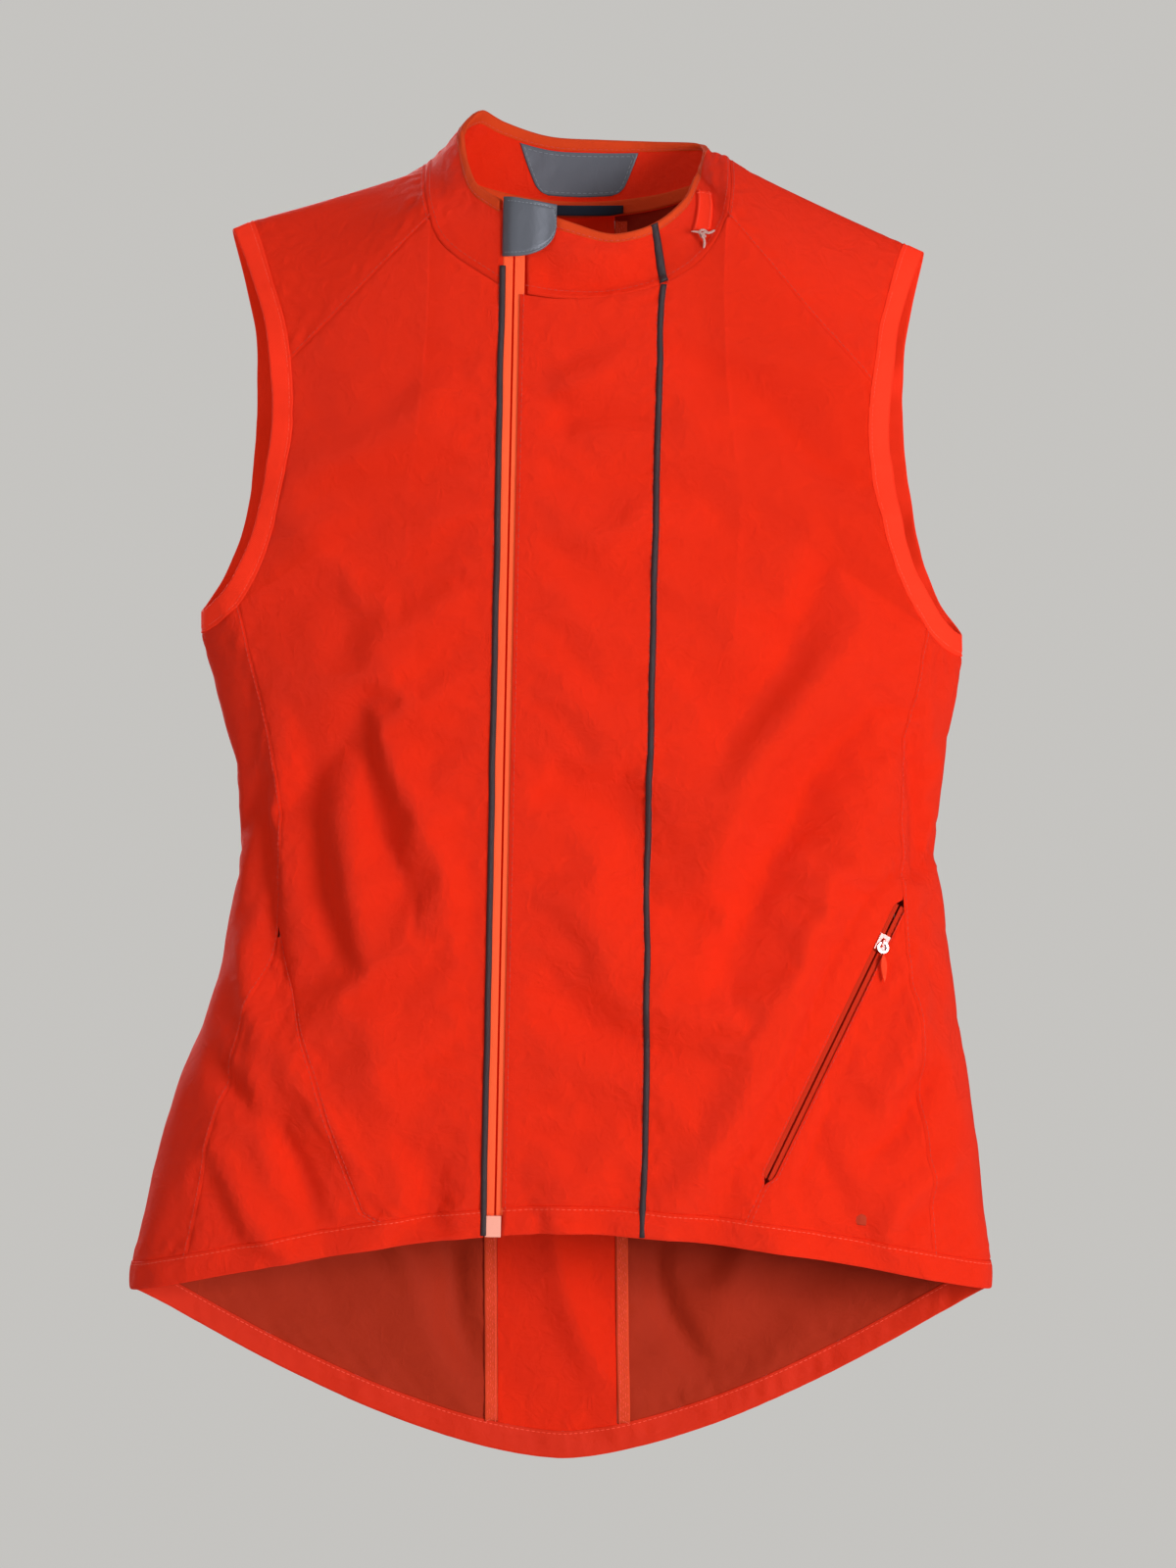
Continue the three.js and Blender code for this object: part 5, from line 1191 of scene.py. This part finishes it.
def kept_node(name, material, bevel=0.0002):
    """A hard piece that is shown as it was cut, with its edges broken."""
    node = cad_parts[name]
    node.data.materials.clear()
    node.data.materials.append(material)
    if bevel:
        weld = node.modifiers.new("weld", "WELD")
        weld.merge_threshold = 0.00001
        broken = node.modifiers.new("edges", "BEVEL")
        broken.width, broken.segments, broken.angle_limit = bevel, 2, math.radians(35)


for name, material, slot in (
        ("zip_box", moulded, "zip_box"), ("zip_pin", moulded, "zip_box"),
        ("zip_top_stop_left", plated, "ring_metal"), ("zip_top_stop_right", plated, "ring_metal"),
        ("zip_slider", painted, "slider"), ("zip_puller", painted, "slider")):
    kept_node(name, material)

grid = in_zip(np.linspace(-9, 9, 14)[None, :], 5.6, np.linspace(-zip_length + 4, -2, 160)[:, None])
grid = grid + np.array([0, 1, 0]) * (0.5 * ripple(grid, 30, 41))[..., None]
zip_facing = slab("zip_facing", grid, -0.3, 0.3, shell_cloth)
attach(zip_facing, "root")


# ---- Zip coils ----
# The nylon coils along the edges of both tapes, one rounded loop after another.

def tree_with(name, sockets):
    tree = bpy.data.node_groups.new(name, "GeometryNodeTree")
    tree.interface.new_socket("Geometry", in_out="INPUT", socket_type="NodeSocketGeometry")
    for key, kind, value in sockets:
        made = tree.interface.new_socket(key, in_out="INPUT", socket_type=kind)
        if value is not None:
            made.default_value = value
    tree.interface.new_socket("Geometry", in_out="OUTPUT", socket_type="NodeSocketGeometry")
    return tree, tree.nodes.new("NodeGroupInput"), tree.nodes.new("NodeGroupOutput")


def repeated(name, tree, values, points, edges, body, slot, *nodes):
    """Runs a geometry tree on a skeleton of points and leaves a plain mesh on its body."""
    mesh = bpy.data.meshes.new(name)
    mesh.from_pydata((np.asarray(points) * 0.001).tolist(), edges, [])
    made = bpy.data.objects.new(name, mesh)
    scene.collection.objects.link(made)
    modifier = made.modifiers.new(name, "NODES")
    modifier.node_group = tree
    for item in tree.interface.items_tree:
        if item.item_type == "SOCKET" and item.in_out == "INPUT" and item.name in values:
            modifier[item.identifier] = values[item.name]
    bpy.context.view_layer.update()
    solid = bpy.data.meshes.new_from_object(made.evaluated_get(bpy.context.evaluated_depsgraph_get()))
    made.modifiers.clear()
    made.data = solid
    if not solid.uv_layers:
        solid.uv_layers.new(name="cloth")
    solid.polygons.foreach_set("use_smooth", [True] * len(solid.polygons))
    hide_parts(*nodes)
    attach(made, body)
    return made


coil_tree, coil_in, coil_out = tree_with("zip_coil", [
    ("Loop Length", "NodeSocketFloat", 0.002), ("Loop Thickness", "NodeSocketFloat", 0.0009),
    ("Turn", "NodeSocketVector", None), ("Finish", "NodeSocketMaterial", None)])
ball = coil_tree.nodes.new("GeometryNodeMeshUVSphere")
ball.inputs["Segments"].default_value, ball.inputs["Rings"].default_value = 8, 4
ball.inputs["Radius"].default_value = 0.5
stretch = coil_tree.nodes.new("ShaderNodeCombineXYZ")
spread = coil_tree.nodes.new("GeometryNodeInstanceOnPoints")
real = coil_tree.nodes.new("GeometryNodeRealizeInstances")
paint = coil_tree.nodes.new("GeometryNodeSetMaterial")
for a, b in (
        (coil_in.outputs["Geometry"], spread.inputs["Points"]),
        (coil_in.outputs["Loop Length"], stretch.inputs["X"]),
        (coil_in.outputs["Loop Thickness"], stretch.inputs["Y"]),
        (coil_in.outputs["Loop Thickness"], stretch.inputs["Z"]),
        (ball.outputs["Mesh"], spread.inputs["Instance"]), (stretch.outputs[0], spread.inputs["Scale"]),
        (coil_in.outputs["Turn"], spread.inputs["Rotation"]), (spread.outputs[0], real.inputs[0]),
        (real.outputs[0], paint.inputs["Geometry"]), (coil_in.outputs["Finish"], paint.inputs["Material"]),
        (paint.outputs[0], coil_out.inputs["Geometry"])):
    coil_tree.links.new(a, b)


def coil(name, points, way, node):
    turn = Vector(way).to_track_quat("X", "Z").to_euler()
    return repeated(name, coil_tree, {"Loop Length": 0.0022, "Loop Thickness": 0.0011, "Turn": tuple(turn),
                                      "Finish": coil_plastic}, points, [], "root", "zip_teeth", node)


for word, points in teeth_places.items():
    coil(f"zip_teeth_{word}", points, zip_across, f"zip_teeth_{word}")


# ---- Zip garage flap ----
# A rounded flap of grey reflective cloth, sewn down beside the zip at its left edge, that covers
# the slider when the zip is closed.

FLAP_WIDTH, FLAP_HEIGHT, FLAP_STAND, FLAP_SEWN_STAND, FLAP_SEWN_OFFSET = 30, 34, 6.2, 1.3, -6.2
s = np.sin(np.linspace(0, math.pi / 2, 40))[None, :] ** 1.1
v = np.linspace(0, 1, 44)[:, None]
drop = 12 + (FLAP_HEIGHT - 12) * np.sqrt(np.clip(1 - s ** 2, 0, 1))
up = -4.5 * s - (1 - v) * drop + 3
raised = np.sin(math.pi * np.minimum(s / 0.25, 1) / 2) - 0.45 * smooth((s - 0.5) / 0.5)
stand = FLAP_SEWN_STAND + (FLAP_STAND - FLAP_SEWN_STAND) * raised + 0.5 * smooth((s - 0.75) / 0.25) * (1 - v)
grid = in_zip(FLAP_SEWN_OFFSET + s * FLAP_WIDTH, -stand, up)
left, right, bottom, top = edge_distances(grid)
nearest = np.minimum.reduce([right, bottom, top])
puff = 0.3 * np.exp(-((nearest - 2.0) / 0.6) ** 2)
flap = slab("zip_garage_flap", grid, 0.0, 0.8 - puff - 0.35 * np.exp(-(nearest / 0.5) ** 2), reflective_cloth)
finished(flap, "garage_flap", "reflective", "zip_garage_flap")
flap_normals = grid_normals(grid)[0]


def inset_line(grid, distance_to_edges, inset):
    """The line on a sheet that lies this far in from its right, lower and upper edges."""
    left, right, bottom, top = distance_to_edges
    columns = [int(np.argmin(np.abs(right[row] - inset))) for row in range(grid.shape[0])]
    low_rows = [int(np.argmin(np.abs(bottom[:, c] - inset))) for c in range(grid.shape[1])]
    high_rows = [int(np.argmin(np.abs(top[:, c] - inset))) for c in range(grid.shape[1])]
    last = int(columns[grid.shape[0] // 2])
    line = [grid[low_rows[c], c] for c in range(2, last)]
    line += [grid[row, columns[row]] for row in range(low_rows[last], high_rows[last])]
    line += [grid[high_rows[c], c] for c in range(last - 1, 2, -1)]
    return np.array(line)


flap_stitches = inset_line(grid + flap_normals * 0.62, (left, right, bottom, top), 2.0)


# ---- Pocket zip ----
# A short zip in the right hip seam, with its tape in the shell's own colour, a small slider, a
# plated ring and a leaf-shaped cloth pull, and a flat bag of thin cloth behind it.

start, end, pocket_hem, pocket_index, pocket_up, pocket_inward, pocket_across = pockets[1]
pocket_length = np.linalg.norm(start - end)


def in_pocket(across, inward, up):
    across, inward, up = np.broadcast_arrays(np.asarray(across, float), inward, up)
    return (start + across[..., None] * pocket_across + inward[..., None] * pocket_inward
            + up[..., None] * pocket_up)


pocket_tape_cloth = fabric("pocket_tape_weave", (0.80, 0.035, 0.006), (0.60, 0.020, 0.003), roughness=0.6,
                           pitch=0.0012, thread=1.4, crease=0.03, bump=0.00016)
ups = np.linspace(-pocket_length + 3, -4, 90)
for side, word in ((-1, "inner"), (1, "outer")):
    across = side * np.array([TAPE_SLIT, TAPE_SLIT + 0.25, 2.4, 4.2, TAPE_EDGE])
    tape = flat_strip(f"pocket_zip_tape_{word}", in_pocket, across[::side], ups, TAPE_FRONT, TAPE_BACK,
                      pocket_tape_cloth)
    finished(tape, "root", "zip_tape", "pocket_zip_tape")
teeth_ups = np.arange(-pocket_length + 11, -14, COIL_PITCH)
both = np.vstack([in_pocket(-(TAPE_SLIT + 1.15), 2.25, teeth_ups),
                  in_pocket(TAPE_SLIT + 1.15, 2.25, teeth_ups + COIL_PITCH / 2)])
coil("pocket_zip_teeth", both, pocket_across, "pocket_zip_teeth")
kept_node("pocket_slider", painted)
kept_node("pocket_pull_ring", plated)

# The pull's glow is painted light: emission standing in for its fluorescent brightness.
leaf_cloth = fabric("leaf_pull_cloth", (1.0, 0.070, 0.022), (0.9, 0.045, 0.012), roughness=0.55, painted_glow=0.25,
                    pitch=0.0006, thread=0.8)
kept_node("pocket_pull", leaf_cloth, bevel=0.0004)
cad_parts["pocket_pull"].data.uv_layers.new(name="cloth")

bag_cloth = fabric("pocket_bag_cloth", (0.60, 0.050, 0.018), (0.46, 0.032, 0.010), roughness=0.75, sheen=0.1)


def to_pocket(point):
    return np.array([(point - start) @ pocket_across, (point - start) @ pocket_up])


low_side = sides[1, 0][:pocket_index + 1]
wall_x = -POCKET_MOUTH - 2 - 0.3
bag_low = to_pocket(along(low_side, [0.03])[0]) + (-9, 4)
bag_high = to_pocket(along(low_side, [0.55])[0]) + (-9, 0)
bag_hem = to_pocket(pocket_hem) + (6, 5)
edges = [np.array([(x, 0, z) for x, z in points]) for points in (
    (bag_hem, bag_low), ((wall_x, -12), (8, -24), bag_high),
    (bag_hem, (wall_x, -pocket_length + 8), (wall_x, -12)), (bag_low, bag_high))]
bag_grid = coons(*edges,
                 spaced_shares(95, 2.6, (1.0, 2.0)), spaced_shares(150, 2.6, (1.0, 2.0)))
depth = 5.4 - 3.4 * (1 - smooth(edge_distances(bag_grid)[0] / 3))
depth = depth + 0.45 * ripple(bag_grid, 28, 51) * smooth(np.minimum.reduce(edge_distances(bag_grid)) / 12)
grid = draped(in_pocket(bag_grid[..., 0], depth, bag_grid[..., 2]))
bag = slab("pocket_bag", grid, -0.35, 0.35, bag_cloth)
finished(bag, "root", "pocket_cloth", "pocket_bag")


# ---- Serged seams inside the back ----
# The two long seams of the back are overlocked on the inside: a narrow turned strip on each,
# bound by a zigzag of thread.

SERGE_WIDTH = 7.5
# The serged edge's glow is painted light: a faint emission in its own colour.
serge_cloth = fabric("serged_edge", (0.84, 0.075, 0.022), (0.62, 0.040, 0.010), roughness=0.8, pitch=0.001,
                     thread=0.8, painted_glow=0.06)
serge_threads = []
for side, word in ((-1, "left"), (1, "right")):
    line = back_seams[side][0]
    z = np.linspace(line[0][2] + 1, line[-1][2] - 3, 260)
    x = np.interp(z, line[:, 2], line[:, 0])
    offsets = np.linspace(0.3, SERGE_WIDTH, 7) * side
    grid = np.stack([draped(back(shell_u(x + offset, z), z)) for offset in offsets], 1)
    out = np.linspace(0, 1, 7)[None, :, None]
    lifted = 0.35 + 0.4 * out ** 2 + 0.25 * ripple(grid, 16, 61)[..., None] * out
    grid = grid + np.array([0, -1, 0]) * lifted
    strip = slab(f"serged_seam_{word}", grid, -0.25, 0.3, serge_cloth)
    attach(strip, "root")
    inner = grid + np.array([0, -1, 0]) * 0.42
    zigzag = np.array([inner[k, 1 if k % 2 else -2] for k in range(0, 260)])
    serge_threads.append(zigzag)
    serge_threads.append(inner[:, 1])


# ---- Stitching ----
# Fine lockstitch beside every seam, hem and trim, one rounded stitch after another, and the
# overlock thread inside.

stitch_tree, stitch_in, stitch_out = tree_with("stitch_row", [
    ("Pitch", "NodeSocketFloat", 0.0032), ("Stitch Length", "NodeSocketFloat", 0.0024),
    ("Thread", "NodeSocketFloat", 0.0005), ("Finish", "NodeSocketMaterial", None)])
as_curve = stitch_tree.nodes.new("GeometryNodeMeshToCurve")
places = stitch_tree.nodes.new("GeometryNodeCurveToPoints")
places.mode = "LENGTH"
capsule = stitch_tree.nodes.new("GeometryNodeMeshUVSphere")
capsule.inputs["Segments"].default_value, capsule.inputs["Rings"].default_value = 6, 4
capsule.inputs["Radius"].default_value = 0.5
size = stitch_tree.nodes.new("ShaderNodeCombineXYZ")
aim = stitch_tree.nodes.new("FunctionNodeAlignEulerToVector")
aim.axis = "Z"
spread = stitch_tree.nodes.new("GeometryNodeInstanceOnPoints")
real = stitch_tree.nodes.new("GeometryNodeRealizeInstances")
paint = stitch_tree.nodes.new("GeometryNodeSetMaterial")
for a, b in (
        (stitch_in.outputs["Geometry"], as_curve.inputs[0]), (as_curve.outputs[0], places.inputs[0]),
        (stitch_in.outputs["Pitch"], places.inputs["Length"]),
        (places.outputs["Points"], spread.inputs["Points"]),
        (places.outputs["Tangent"], aim.inputs["Vector"]),
        (aim.outputs[0], spread.inputs["Rotation"]), (capsule.outputs["Mesh"], spread.inputs["Instance"]),
        (stitch_in.outputs["Thread"], size.inputs["X"]), (stitch_in.outputs["Thread"], size.inputs["Y"]),
        (stitch_in.outputs["Stitch Length"], size.inputs["Z"]), (size.outputs[0], spread.inputs["Scale"]),
        (spread.outputs[0], real.inputs[0]), (real.outputs[0], paint.inputs["Geometry"]),
        (stitch_in.outputs["Finish"], paint.inputs["Material"]),
        (paint.outputs[0], stitch_out.inputs["Geometry"])):
    stitch_tree.links.new(a, b)


shell_thread = plain_finish("shell_thread", (0.70, 0.024, 0.002), Roughness=0.55, Sheen_Weight=0.3)
bright_thread = plain_finish("bright_thread", (1.0, 0.07, 0.02), Roughness=0.55, Sheen_Weight=0.3)
grey_thread = plain_finish("grey_thread", (0.24, 0.26, 0.30), Roughness=0.55, Sheen_Weight=0.3)


def stitched(name, lines, material, body="root", slot="shell", pitch=3.2, length=2.5, thread=0.42):
    points, edges = [], []
    for line in lines:
        first = len(points)
        points += [tuple(p) for p in line]
        edges += [(first + k, first + k + 1) for k in range(len(line) - 1)]
    sizes = {"Pitch": pitch * 0.001, "Stitch Length": length * 0.001, "Thread": thread * 0.001}
    return repeated(name, stitch_tree, {**sizes, "Finish": material}, points, edges, body, slot)


front_rows = [surfaces["front_left_panel"][:, -4], surfaces["front_centre_panel"][:, 3],
              surfaces["front_centre_panel"][:, -4], surfaces["front_right_panel"][:, 3],
              surfaces["front_right_panel"][:, -4][:int(0.26 * len(surfaces["front_right_panel"]))],
              surfaces["front_left_panel"][:, 3][:int(0.26 * len(surfaces["front_left_panel"]))],
              surfaces["hip_panel_left"][:, -4], surfaces["hip_panel_right"][:, 3]]
stitched("front_stitching", front_rows, shell_thread)
yokes = [surfaces["yoke_left"], surfaces["yoke_right"]]
stitched("yoke_stitching", [*(yoke[3] for yoke in yokes), *(yoke[-4] for yoke in yokes),
                            *(yoke[:, 3] for yoke in yokes)], shell_thread)
left, right = surfaces["side_panel_left"], surfaces["side_panel_right"]
stitched("side_stitching", [left[:, -4], left[:, 3], right[:, 3], right[:, -4]], shell_thread)
stitched("back_stitching", [surfaces["back_centre_panel"][:, 3], surfaces["back_centre_panel"][:, -4],
                            surfaces["back_centre_panel"][-4]], shell_thread)
stitched("hem_stitching", [line for lines in hem_surfaces.values() for line in lines], bright_thread,
         thread=0.5)
stitched("neck_stitching", [surfaces["collar_main"][2], surfaces["collar_centre"][2], *tape_stitches],
         shell_thread)
for word, lines in binding_stitches.items():
    stitched(f"binding_stitching_{word}", lines, bright_thread, slot="binding", pitch=2.6, length=2.1)
stitched("patch_stitching", [patch_stitches], grey_thread, slot="reflective", thread=0.35)
stitched("flap_stitching", [flap_stitches], grey_thread, "garage_flap", "reflective", pitch=2.2, length=1.7,
         thread=0.35)
stitched("tab_stitching", tab_stitches, bright_thread, "tab", "binding", pitch=2.2, length=1.7, thread=0.35)
stitched("serge_threads", serge_threads, bright_thread, pitch=1.6, length=1.7, thread=0.4)


# ---- Floor, light and camera ----
# A plain pale round floor below the hanging gilet, soft light from the front and a weaker one
# behind, and a camera level with the middle of the gilet.

FLOOR_Z, FLOOR_RADIUS = -1.55, 2.4
turns = np.linspace(0, 2 * math.pi, 97)[:-1]
disc = bpy.data.meshes.new("floor")
rim = [(FLOOR_RADIUS * math.cos(a), FLOOR_RADIUS * math.sin(a), FLOOR_Z) for a in turns]
disc.from_pydata(rim, [], [range(96)])
floor = bpy.data.objects.new("floor", disc)
scene.collection.objects.link(floor)
disc.materials.append(plain_finish("pale_floor", (0.62, 0.61, 0.58), Roughness=0.9))
floor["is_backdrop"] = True

for name, place, size, power in (("key", (1.4, -1.7, -0.3), 0.7, 42), ("fill", (-1.6, -1.7, -0.1), 1.4, 8),
                                 ("top", (-0.3, -0.5, 1.6), 0.8, 5), ("behind", (-0.9, 1.9, 0.6), 1.2, 30)):
    lamp = bpy.data.lights.new(name, "AREA")
    lamp.size, lamp.energy = size, power
    light = bpy.data.objects.new(name, lamp)
    light.location = place
    light.rotation_euler = (Vector((0, 0, -0.35)) - Vector(place)).to_track_quat("-Z", "Y").to_euler()
    scene.collection.objects.link(light)
scene.world = bpy.data.worlds.new("studio")
scene.world.use_nodes = True
sky = scene.world.node_tree
ambient = sky.nodes["Background"]
ambient.inputs[0].default_value, ambient.inputs[1].default_value = (1.0, 0.98, 0.95, 1), 0.2
seen = sky.nodes.new("ShaderNodeBackground")
seen.inputs[0].default_value, seen.inputs[1].default_value = (0.56, 0.55, 0.53, 1), 1
rays, either = sky.nodes.new("ShaderNodeLightPath"), sky.nodes.new("ShaderNodeMixShader")
for a, b in ((rays.outputs["Is Camera Ray"], either.inputs[0]), (ambient.outputs[0], either.inputs[1]),
             (seen.outputs[0], either.inputs[2]), (either.outputs[0], sky.nodes["World Output"].inputs[0])):
    sky.links.new(a, b)
scene.view_settings.view_transform = "Standard"

CAMERA_DISTANCE, VIEW_HEIGHT = 2.2, 0.912
camera_data = bpy.data.cameras.new("camera")
camera_data.sensor_width = 36
camera_data.lens = 36 * CAMERA_DISTANCE / VIEW_HEIGHT
camera = bpy.data.objects.new("camera", camera_data)
camera.location = (0.0057, -CAMERA_DISTANCE, -0.339)
camera.rotation_euler = (math.radians(90), 0, 0)
scene.collection.objects.link(camera)
scene.camera = camera

low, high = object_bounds()
